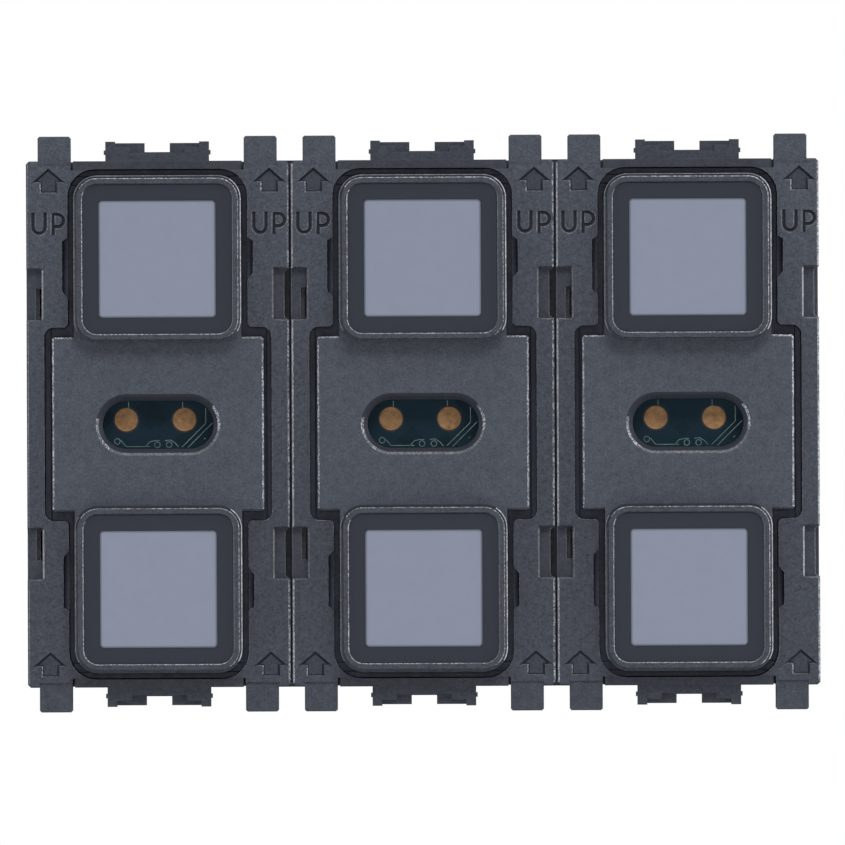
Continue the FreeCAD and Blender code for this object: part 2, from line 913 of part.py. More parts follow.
def module_rib():
    """Low rib that locates one frame's skirt on the plate."""
    outer_width = frame_half_width - frame_side_wall - plate_rib_clearance
    outer_height = frame_half_height - frame_side_wall - snap_arm_clearance
    front_y = plate_front_y - plate_rib_height
    inner = rectangle(outer_width - plate_rib_wall, outer_height - plate_rib_wall)
    hollow = prism(inner, front_y - overshoot, plate_front_y + overshoot)
    return prism(rectangle(outer_width, outer_height), front_y, plate_front_y).cut([hollow])


def housing_clip():
    """Arm behind the plate with a nose that snaps into the rear housing's wall."""
    tip_y = plate_back_y + housing_clip_length
    nose_front_y = plate_back_y + housing_clip_nose_start
    nose_back_y = nose_front_y + housing_clip_nose_length
    nose = housing_clip_outside + housing_clip_nose_reach
    root_y = plate_back_y - plate_thickness / 2
    points = [
        (root_y, housing_clip_inside),
        (tip_y, housing_clip_inside),
        (tip_y, housing_clip_outside),
        (nose_back_y, housing_clip_outside),
        (nose_front_y + housing_clip_nose_length / 3, nose),
        (nose_front_y, nose),
        (nose_front_y, housing_clip_outside),
        (root_y, housing_clip_outside),
    ]
    return profile_along_x(points, -housing_clip_width / 2, housing_clip_width / 2)


def cable_window(x):
    """Opening in the plate for the flat cable and the socket behind it."""
    half_width = socket_width / 2 + plate_window_clearance
    low = socket_edge_z - socket_length - plate_window_clearance
    high = socket_edge_z + ribbon_straight + ribbon_fold + plate_window_clearance
    start_y = plate_front_y - overshoot
    end_y = plate_back_y + overshoot
    return box_between(x - half_width, x + half_width, start_y, end_y, low, high)


def board_supports(front_y, back_y):
    """Square posts at the corners of the main board."""
    x = board_half_width - support_inset
    z = board_half_height - support_inset
    half = support_size / 2
    posts = []
    for post_x in (-x, x):
        for post_z in (-z, z):
            posts.append(prism(rectangle(half, half, 0.0, post_x, post_z), front_y, back_y))
    return posts


def carrier_plate():
    half_width = row_half_width - plate_margin
    half_height = frame_half_height - plate_margin
    body = prism(rectangle(half_width, half_height, plate_corner_radius), plate_front_y, plate_back_y)
    added = board_supports(plate_back_y, board_front_y)
    for x in module_places():
        for piece in [module_rib()] + above_and_below([snap_arm(-1), snap_arm(1), housing_clip()]):
            added.append(moved(piece, x))
    windows = [cable_window(x) for x in module_places()]
    return body.fuse(added).cut(windows).removeSplitter()


# Main board and its pieces
def main_board():
    outline = rectangle(board_half_width, board_half_height, board_corner_radius)
    return prism(outline, board_front_y, board_back_y)


def buffer_capacitor():
    """Round can on a square base."""
    half = capacitor_radius + capacitor_base_margin
    base_back_y = board_back_y + capacitor_base
    base = prism(rectangle(half, half, 0.0, capacitor_x, capacitor_z), board_back_y, base_back_y)
    can_back_y = board_back_y + capacitor_height
    return base.fuse([rod(capacitor_radius, base_back_y, can_back_y, capacitor_x, capacitor_z)])


def bus_choke():
    """Shielded choke: a square body with a smaller cap."""
    half = choke_size / 2
    body_back_y = board_back_y + choke_height - choke_cap_height
    cap_half = half - choke_cap_inset
    corner = choke_cap_inset / 2
    body = prism(rectangle(half, half, corner, choke_x, choke_z), board_back_y, body_back_y)
    cap_outline = rectangle(cap_half, cap_half, corner, choke_x, choke_z)
    return body.fuse([prism(cap_outline, body_back_y, board_back_y + choke_height)])


def pin_prism(side, half_size, front_y, back_y):
    """Square prism at one of the two pins' places."""
    centre_x = side * terminal_pitch / 2
    centre_z = terminal_z + pin_shift_z
    return prism(rectangle(half_size, half_size, 0.0, centre_x, centre_z), front_y, back_y)


def bus_pins():
    tip_y = board_back_y + pin_length
    return [pin_prism(side, pin_size / 2, board_back_y, tip_y) for side in (-1, 1)]


# Rear housing
def housing_loft(inset, radius, back_y):
    """Tapered tub form."""
    half_width = housing_half_width - inset
    half_height = housing_half_height - inset
    taper = housing_taper * (back_y - plate_back_y) / housing_depth
    front = outline_wire(rectangle(half_width, half_height, radius), plate_back_y)
    back = outline_wire(rectangle(half_width - taper, half_height - taper, radius), back_y)
    return Part.makeLoft([front, back], True, True)


def housing_window(x):
    """Opening in the long wall for the nose of a housing clip."""
    half = housing_clip_width / 2 + housing_window_clearance
    front_y = plate_back_y + housing_clip_nose_start - housing_window_clearance
    back_y = front_y + housing_clip_nose_length + 2 * housing_window_clearance
    low = housing_half_height - housing_wall - overshoot
    return box_between(x - half, x + half, front_y, back_y, low, housing_half_height + overshoot)


def rear_housing():
    body = housing_loft(0.0, housing_corner_radius, housing_back_y)
    body = body.cut([housing_loft(housing_wall, 0.0, housing_floor_y)])
    pocket_half_width = (terminal_pitch + terminal_width) / 2 + terminal_clearance
    pocket_half_height = terminal_height / 2 + terminal_clearance
    wall = terminal_pocket_wall
    tower_outline = rectangle(pocket_half_width + wall, pocket_half_height + wall, 0.0, 0.0, terminal_z)
    tower = prism(tower_outline, pocket_bottom_y - wall, housing_floor_y + housing_wall / 2)
    pocket_outline = rectangle(pocket_half_width, pocket_half_height, 0.0, 0.0, terminal_z)
    removed = [prism(pocket_outline, pocket_bottom_y, far_back_y)]
    removed += above_and_below([housing_window(x) for x in module_places()])
    for side in (-1, 1):
        half_size = pin_size / 2 + pin_clearance
        removed.append(pin_prism(side, half_size, board_back_y, pocket_bottom_y + overshoot))
    posts = board_supports(board_back_y, housing_floor_y + housing_wall / 2)
    return body.fuse([tower] + posts).cut(removed).removeSplitter()


# Bus terminal
def bus_terminal(side):
    """Plug-on terminal half with a pin bore in front and wire entries in the back."""
    x = side * terminal_pitch / 2
    front_y = pocket_bottom_y + terminal_clearance / 2
    back_y = front_y + terminal_length
    outline = rectangle(terminal_width / 2, terminal_height / 2, 0.0, x, terminal_z)
    body = chamfered_at(prism(outline, front_y, back_y), back_y, terminal_chamfer)
    pin_room_y = board_back_y + pin_length + terminal_clearance
    removed = [pin_prism(side, pin_size / 2 + pin_clearance, front_y - overshoot, pin_room_y)]
    hole_y = back_y - wire_hole_depth
    for index in range(wire_hole_count):
        hole_x = x + (index - (wire_hole_count - 1) / 2) * wire_hole_spacing
        hole_z = terminal_z + wire_hole_shift_z
        removed.append(rod(wire_hole_radius, hole_y, back_y + overshoot, hole_x, hole_z))
    test_slot_z = terminal_z + pin_shift_z
    test_slot = rectangle(test_slot_width / 2, test_slot_height / 2, 0.0, x, test_slot_z)
    removed.append(prism(test_slot, back_y - test_slot_depth, back_y + overshoot))
    return body.cut(removed)


# Export: one file for each node, where a list is a group of separate solids
def export(name, solids):
    shape = Part.makeCompound(solids) if isinstance(solids, list) else solids
    shape.exportStep("parts/" + name + ".step")


def touch_chip():
    size = touch_chip_size
    return chip(size, size, sensor_board_back_y, touch_chip_thickness, touch_chip_x, 0)


def controller_chip():
    size = controller_size
    return chip(size, size, board_back_y, controller_thickness, controller_x, controller_z)


def bus_chip():
    return chip(
        bus_chip_width, bus_chip_height, board_back_y, bus_chip_thickness, bus_chip_x, bus_chip_z
    )


def module_nodes():
    return {
        "front_frame": [front_frame()],
        "sensor_carriage": [sensor_carriage()],
        "upper_mask": [mask(turret_offset_z)],
        "lower_mask": [mask(-turret_offset_z)],
        "upper_diffuser": [diffuser(turret_offset_z)],
        "lower_diffuser": [diffuser(-turret_offset_z)],
        "touch_electrodes": [touch_electrode(turret_offset_z), touch_electrode(-turret_offset_z)],
        "sensor_board": [sensor_board()],
        "contact_pads": contact_pads(),
        "window_leds": window_leds(),
        "touch_chip": [touch_chip()],
        "ribbon_socket": [ribbon_socket(sensor_board_back_y)],
        "ribbon_cable": [ribbon_cable()],
        "return_springs": [return_spring(turret_offset_z), return_spring(-turret_offset_z)],
    }


def common_nodes():
    main_socket = ribbon_socket(board_front_y - socket_height)
    return {
        "carrier_plate": carrier_plate(),
        "main_board": main_board(),
        "board_sockets": [moved(main_socket, x) for x in module_places()],
        "controller_chip": controller_chip(),
        "bus_chip": bus_chip(),
        "buffer_capacitor": buffer_capacitor(),
        "bus_choke": bus_choke(),
        "bus_pins": bus_pins(),
        "rear_housing": rear_housing(),
        "positive_terminal": bus_terminal(-1),
        "negative_terminal": bus_terminal(1),
    }


def build():
    for node, solids in module_nodes().items():
        for name, x in zip(module_names, module_places()):
            placed = [moved(solid, x) for solid in solids]
            export(name + "_" + node, placed if len(placed) > 1 else placed[0])
    for node, shape in common_nodes().items():
        export(node, shape)


build()
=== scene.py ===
import math

import bmesh
import bpy
from mathutils import Matrix, Vector


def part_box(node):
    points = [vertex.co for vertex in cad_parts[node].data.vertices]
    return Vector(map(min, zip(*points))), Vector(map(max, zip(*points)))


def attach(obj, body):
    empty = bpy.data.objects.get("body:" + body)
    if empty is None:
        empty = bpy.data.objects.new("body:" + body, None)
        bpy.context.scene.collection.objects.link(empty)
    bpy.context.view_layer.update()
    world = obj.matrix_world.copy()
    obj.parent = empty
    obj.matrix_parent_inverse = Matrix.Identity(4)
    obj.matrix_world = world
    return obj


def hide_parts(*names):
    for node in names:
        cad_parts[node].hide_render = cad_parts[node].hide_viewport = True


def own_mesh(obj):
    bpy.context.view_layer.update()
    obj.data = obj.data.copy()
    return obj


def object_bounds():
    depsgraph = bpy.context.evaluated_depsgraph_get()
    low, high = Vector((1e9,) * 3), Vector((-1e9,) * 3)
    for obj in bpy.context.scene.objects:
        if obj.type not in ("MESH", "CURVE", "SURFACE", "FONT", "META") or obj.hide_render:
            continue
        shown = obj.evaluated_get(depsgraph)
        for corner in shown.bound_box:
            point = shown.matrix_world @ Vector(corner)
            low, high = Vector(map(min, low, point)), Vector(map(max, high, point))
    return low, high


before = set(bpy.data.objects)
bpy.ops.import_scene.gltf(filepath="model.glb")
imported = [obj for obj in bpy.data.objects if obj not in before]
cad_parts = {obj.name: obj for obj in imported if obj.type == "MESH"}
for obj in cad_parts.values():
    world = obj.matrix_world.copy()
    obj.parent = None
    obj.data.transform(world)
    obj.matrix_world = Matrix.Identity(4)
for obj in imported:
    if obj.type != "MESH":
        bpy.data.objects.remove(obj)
cad_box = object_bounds()

# Lengths are in metres where no millimetres are named. +X is right, +Z is up and the front looks along -Y.
MM = 0.001

# Signs of X and Z towards the four corners
CORNERS = ((-1, -1), (-1, 1), (1, -1), (1, 1))

# Picture: its width in pixels, the scale at the frame's face, the panel's middle in it, and the camera, with
# its sensor's width in millimetres
PICTURE_PIXELS = 845
PIXELS_PER_MM = 11.778
PANEL_MIDDLE_X_PIXEL = 423.2
PANEL_MIDDLE_Y_PIXEL = 423.0
CAMERA_ROLL = math.radians(0.25)
CAMERA_DISTANCE = 2.0
SENSOR_WIDTH = 36.0

# Light that the surroundings give off
WORLD_LIGHT = 0.09

# Usual range of a noise value
NOISE_LOW = 0.3
NOISE_HIGH = 0.7

# Working tolerances
MERGE_DISTANCE = 0.0005 * MM
FLAT_ANGLE = math.radians(0.5)
SMOOTH_ANGLE = math.radians(16)
CORNER_ANGLE = math.radians(30)
OVERSHOOT = 1.0 * MM
TOUCH = 0.002 * MM

# How far a face's normal leans along an axis where it counts as flat, as sloping or as looking that way
FLAT = 0.9
LEANING = 0.35
MARK_LEANING_RIGHT = 0.5
CHAMFER_LEANING = (0.3, 0.95)
LIP_LEANING = (0.5, 0.97)

# Widths of softened edges, and how many of those widths an edge beside them has to be long
EDGE_ROOM = 2.4
FRAME_EDGE = 0.08 * MM
TERMINAL_EDGE = 0.14 * MM
HOUSING_EDGE = 0.5 * MM

# Places in a mesh's list of materials; most of them hold painted highlights or painted shade
PLAIN = 0
HIGHLIGHT = 1
SUNK = 2
DIMMED = 3
DIM_HIGHLIGHT = 4
DARK = 5
LINE = 6
LEDGE = 7

# Carriage: block face, its edge chamfer and the lip of the slot
BLOCK_FACE_Y = -3.6 * MM
BLOCK_CHAMFER = 0.15 * MM
SLOT_MIDDLE_Z = -0.05 * MM
SLOT_LIP_HALF = 5.175 * MM
SLOT_LIP_HIGH = 2.5 * MM
SLOT_LINE = 0.11 * MM
SLOT_SLOPE_WIDTH = 2.3 * SLOT_LINE
SLOT_SLOPE_DEPTH = 1.15 * SLOT_LINE

# Where that line carries a painted highlight, in degrees round the middle of the slot's left and right end
LEFT_SHINE = (170, 238)
RIGHT_SHINE = (-14, 36)

# Opening of the frame: its wide part has round corners
OPENING_WIDE_HALF = 9.65 * MM
OPENING_WIDE_HIGH = 8.22 * MM
OPENING_WIDE_RADIUS = 0.8 * MM

# Turret and its rim: a step just inside its outer edge, with painted highlight lines on its edges
TURRET_HALF = 7.1 * MM
RIM_WIDTH = 0.75 * MM
RIM_STEP_WIDTH = 0.22 * MM
RIM_STEP_DEPTH = 0.3 * MM
RIM_LINE = 0.08 * MM
RIM_OVERLAP = 0.02 * MM
TURRET_CORNER_RADIUS = 2.0 * MM
CORNER_SEGMENTS = 14

# Arrows sunk into the frame's face, and where they and the word lie across a module
ARROW_WIDTH = 2.9 * MM
ARROW_HEIGHT = 2.14 * MM
ARROW_HEAD_HEIGHT = 1.26 * MM
ARROW_SHAFT_WIDTH = 1.5 * MM
ARROW_DEPTH = 0.25 * MM
ARROW_EDGE = 0.1 * MM
ARROW_WALL_SLOPE = 0.09 * MM
ARROW_LEFT_X = -9.24 * MM
ARROW_RIGHT_X = 9.5 * MM
UPPER_ARROW_TIP_Z = 21.75 * MM
LOWER_ARROW_TIP_Z = -19.33 * MM
MARKS_INSIDE = 7.75 * MM
MARKS_OUTSIDE = 11.02 * MM

# Height over which the frame's colour rises to that of its top: painted light from above
TOP_LIGHT_START = 4.0 * MM
TOP_LIGHT_END = 17.0 * MM

# Edge chamfer of the frame, height of its tabs, ribs at its seams and the place of its snap tongues
FRAME_CHAMFER = 0.14 * MM
TAB_REACH = 2.1 * MM
SEAM_RIB_DEPTH = 0.5 * MM
SEAM_RIB_SIZE = 0.5 * MM
TONGUE_LOW = 21.66 * MM
TONGUE_RECESS = 0.12 * MM
TONGUE_RECESS_LOW = 21.58 * MM
TONGUE_RECESS_HIGH = 24.0 * MM
TONGUE_RECESS_HALF = 7.25 * MM

# Side notches of the frame, with a painted highlight line round them, and the ledge in the pockets beside
# the turrets
NOTCH_INSIDE = 9.85 * MM
NOTCH_REACH = 5.0 * MM
NOTCH_LOW = 8.87 * MM
NOTCH_HIGH = 13.15 * MM
NOTCH_LINE = 0.14 * MM
NOTCH_SLOPE = 1.4 * NOTCH_LINE
NOTCH_RADIUS = 0.32 * MM
NOTCH_FLOOR = 0.8 * MM
LEDGE_Y = 0.8 * MM

# Orientation word sunk into the frame's face
WORD_HEIGHT = 1.75 * MM
WORD_STROKE = 0.15 * MM
WORD_DEPTH = 0.22 * MM
WORD_EDGE = 0.1 * MM
WORD_EDGE_DEPTH = 0.05 * MM
WORD_BASE_Z = 16.1 * MM
WORD_LEFT_X = -10.56 * MM
WORD_RIGHT_X = 8.2 * MM
LETTER_WIDTH = 1.03 * MM
LETTER_GAP = 0.68 * MM
LOOP_RADIUS = 0.3 * WORD_HEIGHT
LOOP_START = 0.35 * LETTER_WIDTH

# Window: the soft border where the pale block meets its mask
WINDOW_BORDER = 0.24 * MM
WINDOW_CORNER = 0.35 * MM

# Marks on the sensor board
TRACE_WIDTH = 0.07 * MM
TRACE_HEIGHT = 0.02 * MM
PAD_RING_WIDTH = 0.13 * MM
VIA_HOLE = 0.2 * MM
VIA_RADIUS = 0.27 * MM

# Where those marks lie, in millimetres from the slot's middle
BOARD_LINES = (
    ((-2.53, 1.9), (-2.53, 1.35)),
    ((2.06, 1.9), (2.06, 1.35)),
    ((4.02, 1.35), (4.02, 0.05), (2.0, -1.95)),
    ((4.6, 0.1), (2.5, -2.0)),
    ((-0.75, -1.9), (-2.35, -1.9), (-2.75, -1.9), (-3.2, -1.35)),
    ((-1.15, -1.95), (-0.75, -1.5), (-0.3, -1.4), (0.1, -1.4)),
    ((0.55, -1.4), (1.0, -1.35), (1.4, -1.6), (1.7, -1.95)),
    ((3.85, -1.3), (4.0, -1.2)),
)
BOARD_VIAS = ((-3.5, -1.45), (-0.1, -1.75), (0.9, -1.75))

# Back of the housing: marks of the moulding tool, a sunk field and the signs beside the terminals
HOUSING_OUTSIDE_X = 20.0 * MM
HOUSING_OUTSIDE_Z = 18.0 * MM
EJECTOR_RADIUS = 1.7 * MM
EJECTOR_DEPTH = 0.12 * MM
EJECTOR_X = 28.0 * MM
EJECTOR_Z = 16.5 * MM
FIELD_HALF_X = 13.0 * MM
FIELD_HALF_Z = 5.5 * MM
FIELD_RADIUS = 1.0 * MM
FIELD_DEPTH = 0.25 * MM
FIELD_Z = 9.0 * MM
SIGN_LENGTH = 2.4 * MM
SIGN_WIDTH = 0.45 * MM
SIGN_HEIGHT = 0.3 * MM
SIGN_ABOVE = 2.4 * MM
GATE_RADIUS = 1.1 * MM
GATE_HEIGHT = 0.15 * MM
GATE_TAPER = 0.8
GATE_Z = -2 * FIELD_Z

# Wire entries of the terminals widen towards the back
ENTRY_PITCH = 2.6 * MM
ENTRY_Z = -7.0 * MM
ENTRY_RADIUS = 0.55 * MM
FUNNEL_RADIUS = 0.95 * MM
FUNNEL_DEPTH = 0.4 * MM

# Floor and lamps: name, place, width, height and power of each lamp, which looks at the panel's middle
FLOOR_RADIUS = 0.45
FLOOR_FADE_START = 0.4 * FLOOR_RADIUS
FLOOR_FADE_END = 0.98 * FLOOR_RADIUS
FLOOR_DROP = 20.0 * MM
SOFTBOXES = (
    ("key_above", (0.2, -1.25, 0.95), 0.7, 0.5, 8.5),
    ("top_strip", (0.1, -0.12, 0.6), 0.8, 0.2, 1.2),
    ("right_strip", (1.0, -0.2, 0.1), 0.25, 1.0, 3.6),
    ("left_strip", (-1.0, -0.2, 0.1), 0.25, 1.0, 2.2),
    ("front_fill", (0.0, -2.2, 0.0), 0.12, 0.12, 5.2),
    ("back_fill", (0.3, 1.6, 0.9), 1.2, 1.0, 14.0),
)


def middle(node):
    low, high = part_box(node)
    return (low + high) / 2


# Places that the pieces' own boxes give
CREST_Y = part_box("middle_sensor_carriage")[0].y
MODULE_PITCH = middle("right_upper_mask").x - middle("middle_upper_mask").x
TURRET_OFFSET_Z = middle("middle_upper_mask").z
WINDOW_HALF = 5.0 * MM


def linear(red, green, blue):
    """Linear colour of an 8-bit screen colour."""
    values = []
    for level in (red, green, blue):
        share = level / 255
        values.append(share / 12.92 if share <= 0.04045 else ((share + 0.055) / 1.055) ** 2.4)
    return (values[0], values[1], values[2], 1.0)


def scaled(colour, factor):
    return (colour[0] * factor, colour[1] * factor, colour[2] * factor, 1.0)


# Materials
def set_input(tree, socket, value):
    """Link an input to another node's output, or set its value."""
    if isinstance(value, bpy.types.NodeSocket):
        tree.links.new(value, socket)
    else:
        socket.default_value = value


def set_inputs(tree, node, **values):
    """Set or link some inputs of a shader node, named with _ for a space."""
    for name, value in values.items():
        set_input(tree, node.inputs[name.replace("_", " ")], value)


def add_node(tree, kind, **values):
    """New shader node with some of its inputs set or linked."""
    made = tree.nodes.new("ShaderNode" + kind)
    set_inputs(tree, made, **values)
    return made


def add_math(tree, operation, *values):
    made = tree.nodes.new("ShaderNodeMath")
    made.operation = operation
    for socket, value in zip(made.inputs, values):
        set_input(tree, socket, value)
    return made.outputs[0]


def add_range(tree, value, from_low, from_high, to_low, to_high):
    made = add_node(
        tree, "MapRange", Value=value, From_Min=from_low, From_Max=from_high, To_Min=to_low, To_Max=to_high
    )
    return made.outputs["Result"]


def add_mix(tree, share, first, second):
    """Colour between two, by a share."""
    made = tree.nodes.new("ShaderNodeMix")
    made.data_type = "RGBA"
    for index, value in ((0, share), (6, first), (7, second)):
        set_input(tree, made.inputs[index], value)
    return made.outputs[2]


def add_noise(tree, place, scale, detail, roughness=0.5):
    made = add_node(tree, "TexNoise", Vector=place, Scale=scale, Detail=detail, Roughness=roughness)
    return made.outputs["Fac"]


def add_length(tree, vector):
    made = tree.nodes.new("ShaderNodeVectorMath")
    made.operation = "LENGTH"
    tree.links.new(vector, made.inputs[0])
    return made.outputs["Value"]


def spread_noise(tree, value, low, high):
    """Noise value taken from its usual range to another one."""
    return add_range(tree, value, NOISE_LOW, NOISE_HIGH, low, high)


def add_tones(tree, share, colour, darker, lighter):
    """Colour between two tones of itself, by a share."""
    return add_mix(tree, share, scaled(colour, darker), scaled(colour, lighter))


def new_group(name, inputs, outputs):
    group = bpy.data.node_groups.new(name, "ShaderNodeTree")
    for socket_name, kind in inputs:
        group.interface.new_socket(name=socket_name, in_out="INPUT", socket_type=kind)
    for socket_name, kind in outputs:
        group.interface.new_socket(name=socket_name, in_out="OUTPUT", socket_type=kind)
    return group, group.nodes.new("NodeGroupInput"), group.nodes.new("NodeGroupOutput")


def make_grain_group():
    """Fine spark-eroded grain of a moulding tool, with slow changes of tone across the part."""
    group, entry, result = new_group(
        "moulded_grain",
        [("Vector", "NodeSocketVector"), ("Grain Scale", "NodeSocketFloat")],
        [("Height", "NodeSocketFloat"), ("Tone", "NodeSocketFloat")],
    )
    vector = entry.outputs["Vector"]
    scale = entry.outputs["Grain Scale"]
    fine = add_noise(group, vector, scale, 3.0, 0.6)
    coarse = add_noise(group, vector, add_math(group, "MULTIPLY", scale, 0.32), 2.0)
    slow = add_noise(group, vector, add_math(group, "MULTIPLY", scale, 0.03), 3.0)
    tone = add_math(group, "MULTIPLY", fine, 0.65)
    for noise, weight in ((coarse, 0.27), (slow, 0.08)):
        tone = add_math(group, "ADD", tone, add_math(group, "MULTIPLY", noise, weight))
    set_inputs(group, result, Height=add_math(group, "ADD", fine, coarse), Tone=tone)
    return group


def make_speckle_group():
    """Sparse small specks, such as filler in a moulding compound or dimples in plating."""
    group, entry, result = new_group(
        "fine_specks",
        [("Vector", "NodeSocketVector"), ("Speck Scale", "NodeSocketFloat"), ("Amount", "NodeSocketFloat")],
        [("Mask", "NodeSocketFloat"), ("Height", "NodeSocketFloat")],
    )
    scale = entry.outputs["Speck Scale"]
    cells = add_node(group, "TexVoronoi", Vector=entry.outputs["Vector"], Scale=scale)
    distance = cells.outputs["Distance"]
    below = add_math(group, "SUBTRACT", entry.outputs["Amount"], distance)
    mask = add_math(group, "MULTIPLY", below, 6.0)
    mask.node.use_clamp = True
    set_inputs(group, result, Mask=mask, Height=distance)
    return group


GRAIN = make_grain_group()
SPECKS = make_speckle_group()


def start_material(name):
    material = bpy.data.materials.new(name)
    material.use_nodes = True
    tree = material.node_tree
    shader = tree.nodes["Principled BSDF"]
    place = tree.nodes.new("ShaderNodeTexCoord").outputs["Object"]
    return material, tree, shader, place


def place_group(tree, group, place, **values):
    made = tree.nodes.new("ShaderNodeGroup")
    made.node_tree = group
    set_inputs(tree, made, Vector=place, **values)
    return made


def set_bump(tree, shader, height, depth_mm):
    bump = add_node(tree, "Bump", Height=height, Strength=1.0, Distance=depth_mm * MM)
    set_inputs(tree, shader, Normal=bump.outputs["Normal"])


def moulded_plastic(name, colour, roughness, scale, depth_mm, spread, specular=0.5, lit_top_colour=None):
    """Moulded plastic with a fine grain; a lighter top colour, painted light from above, takes over towards
    the top of the panel.
    """
    material, tree, shader, place = start_material(name)
    grain = place_group(tree, GRAIN, place, Grain_Scale=scale)
    tone = spread_noise(tree, grain.outputs["Tone"], 0.0, 1.0)
    mixed = add_tones(tree, tone, colour, 1 - spread, 1 + spread)
    if lit_top_colour:
        upper = add_tones(tree, tone, lit_top_colour, 1 - spread, 1 + spread)
        height = add_node(tree, "SeparateXYZ", Vector=place).outputs["Z"]
        share = add_range(tree, height, TOP_LIGHT_START, TOP_LIGHT_END, 0.0, 1.0)
        mixed = add_mix(tree, share, mixed, upper)
    gloss = spread_noise(tree, grain.outputs["Tone"], roughness + 0.06, roughness - 0.06)
    set_inputs(tree, shader, Base_Color=mixed, Roughness=gloss, Specular_IOR_Level=specular)
    set_bump(tree, shader, grain.outputs["Height"], depth_mm)
    return material


def painted_edge_highlight(name, colour, bright, roughness):
    """Painted highlight along an edge, in broken light dashes that are glossier where they are light."""
    material, tree, shader, place = start_material(name)
    dashes = add_noise(tree, place, 5400.0, 2.0, 0.6)
    patches = add_noise(tree, place, 700.0, 2.0)
    dots = add_range(tree, dashes, 0.45, 0.58, 0.0, 1.0)
    share = add_math(tree, "MULTIPLY", dots, add_range(tree, patches, 0.35, 0.5, 0.35, 1.0))
    gloss = add_range(tree, share, 0.0, 1.0, roughness + 0.15, roughness)
    set_inputs(tree, shader, Base_Color=add_mix(tree, share, colour, bright), Roughness=gloss)
    set_bump(tree, shader, dashes, 0.01)
    return material


def speckled(name, colour, speck_colour, roughness, scale, amount, depth_mm=0.0, metallic=0.0, spread=0.12):
    """Even finish broken up by small specks."""
    material, tree, shader, place = start_material(name)
    specks = place_group(tree, SPECKS, place, Speck_Scale=scale, Amount=amount)
    grain = place_group(tree, GRAIN, place, Grain_Scale=scale * 0.5).outputs["Tone"]
    plain = add_tones(tree, spread_noise(tree, grain, 0.0, 1.0), colour, 1 - spread, 1 + spread)
    mixed = add_mix(tree, specks.outputs["Mask"], plain, speck_colour)
    gloss = spread_noise(tree, grain, roughness + 0.08, roughness - 0.08)
    set_inputs(tree, shader, Base_Color=mixed, Roughness=gloss, Metallic=metallic)
    if depth_mm:
        set_bump(tree, shader, specks.outputs["Height"], depth_mm)
    return material


def drawn_strip(name, colour, roughness, line_axis, metallic=1.0):
    """Metal or film with fine lines along one axis."""
    material, tree, shader, place = start_material(name)
    stretch = [4000.0, 4000.0, 4000.0]
    stretch[line_axis] = 150.0
    mapping = add_node(tree, "Mapping", Vector=place, Scale=stretch)
    lines = add_noise(tree, mapping.outputs["Vector"], 1.0, 4.0)
    mixed = add_tones(tree, spread_noise(tree, lines, 0.0, 1.0), colour, 0.85, 1.1)
    gloss = spread_noise(tree, lines, roughness + 0.1, roughness - 0.05)
    set_inputs(tree, shader, Base_Color=mixed, Roughness=gloss, Metallic=metallic)
    set_bump(tree, shader, lines, 0.004)
    return material


def frosted_window(name, colour, border_colour):
    """Frosted pale plastic that darkens softly towards the border of its face."""
    material, tree, shader, place = start_material(name)
    axes = add_node(tree, "SeparateXYZ", Vector=place)
    along_x = add_math(tree, "WRAP", axes.outputs["X"], MODULE_PITCH / 2, -MODULE_PITCH / 2)
    along_z = add_math(tree, "SUBTRACT", add_math(tree, "ABSOLUTE", axes.outputs["Z"]), TURRET_OFFSET_Z)
    inner = WINDOW_HALF - WINDOW_CORNER
    past_corner = []
    for along in (along_x, along_z):
        past = add_math(tree, "SUBTRACT", add_math(tree, "ABSOLUTE", along), inner)
        past_corner.append(add_math(tree, "MAXIMUM", past, 0.0))
    corner = add_node(tree, "CombineXYZ", X=past_corner[0], Y=past_corner[1])
    length = add_length(tree, corner.outputs["Vector"])
    border = add_range(tree, length, WINDOW_CORNER - WINDOW_BORDER, WINDOW_CORNER, 0.0, 1.0)
    grain = place_group(tree, GRAIN, place, Grain_Scale=900.0)
    face = add_tones(tree, spread_noise(tree, grain.outputs["Tone"], 0.0, 1.0), colour, 0.98, 1.02)
    mixed = add_mix(tree, border, face, border_colour)
    set_inputs(tree, shader, Base_Color=mixed, Roughness=0.55, Specular_IOR_Level=0.2)
    set_bump(tree, shader, grain.outputs["Height"], 0.002)
    return material


def circuit_board(name, colour):
    """Solder resist with a faint grain over buried copper areas."""
    material, tree, shader, place = start_material(name)
    grain = place_group(tree, GRAIN, place, Grain_Scale=6000.0)
    copper = add_node(tree, "TexVoronoi", Vector=place, Scale=260.0)
    copper.distance = "MANHATTAN"
    area = add_range(tree, copper.outputs["Distance"], 0.45, 0.5, 0.0, 1.0)
    mixed = add_tones(tree, area, colour, 0.92, 1.15)
    gloss = spread_noise(tree, grain.outputs["Tone"], 0.5, 0.62)
    set_inputs(tree, shader, Base_Color=mixed, Roughness=gloss, Specular_IOR_Level=0.08)
    set_bump(tree, shader, grain.outputs["Height"], 0.002)
    return material


# A moulded plastic gives its colour, roughness, scale and depth of grain, spread of tone and specular level.
# A painted edge highlight gives its colour, the colour of its light dashes and their roughness. A speckled
# finish gives its colour, the colour of its specks, roughness, scale, amount and depth. Depths are in
# millimetres.
PLASTIC = linear(73, 78, 89)
# Frame plastic darker below and lighter towards the top: painted light from above
FRAME_MATERIAL = moulded_plastic(
    "frame_plastic", scaled(PLASTIC, 0.8), 0.52, 6000.0, 0.018, 0.55, 0.25, PLASTIC
)
CARRIAGE_MATERIAL = moulded_plastic("carriage_plastic", PLASTIC, 0.52, 5600.0, 0.014, 0.42, 0.25)
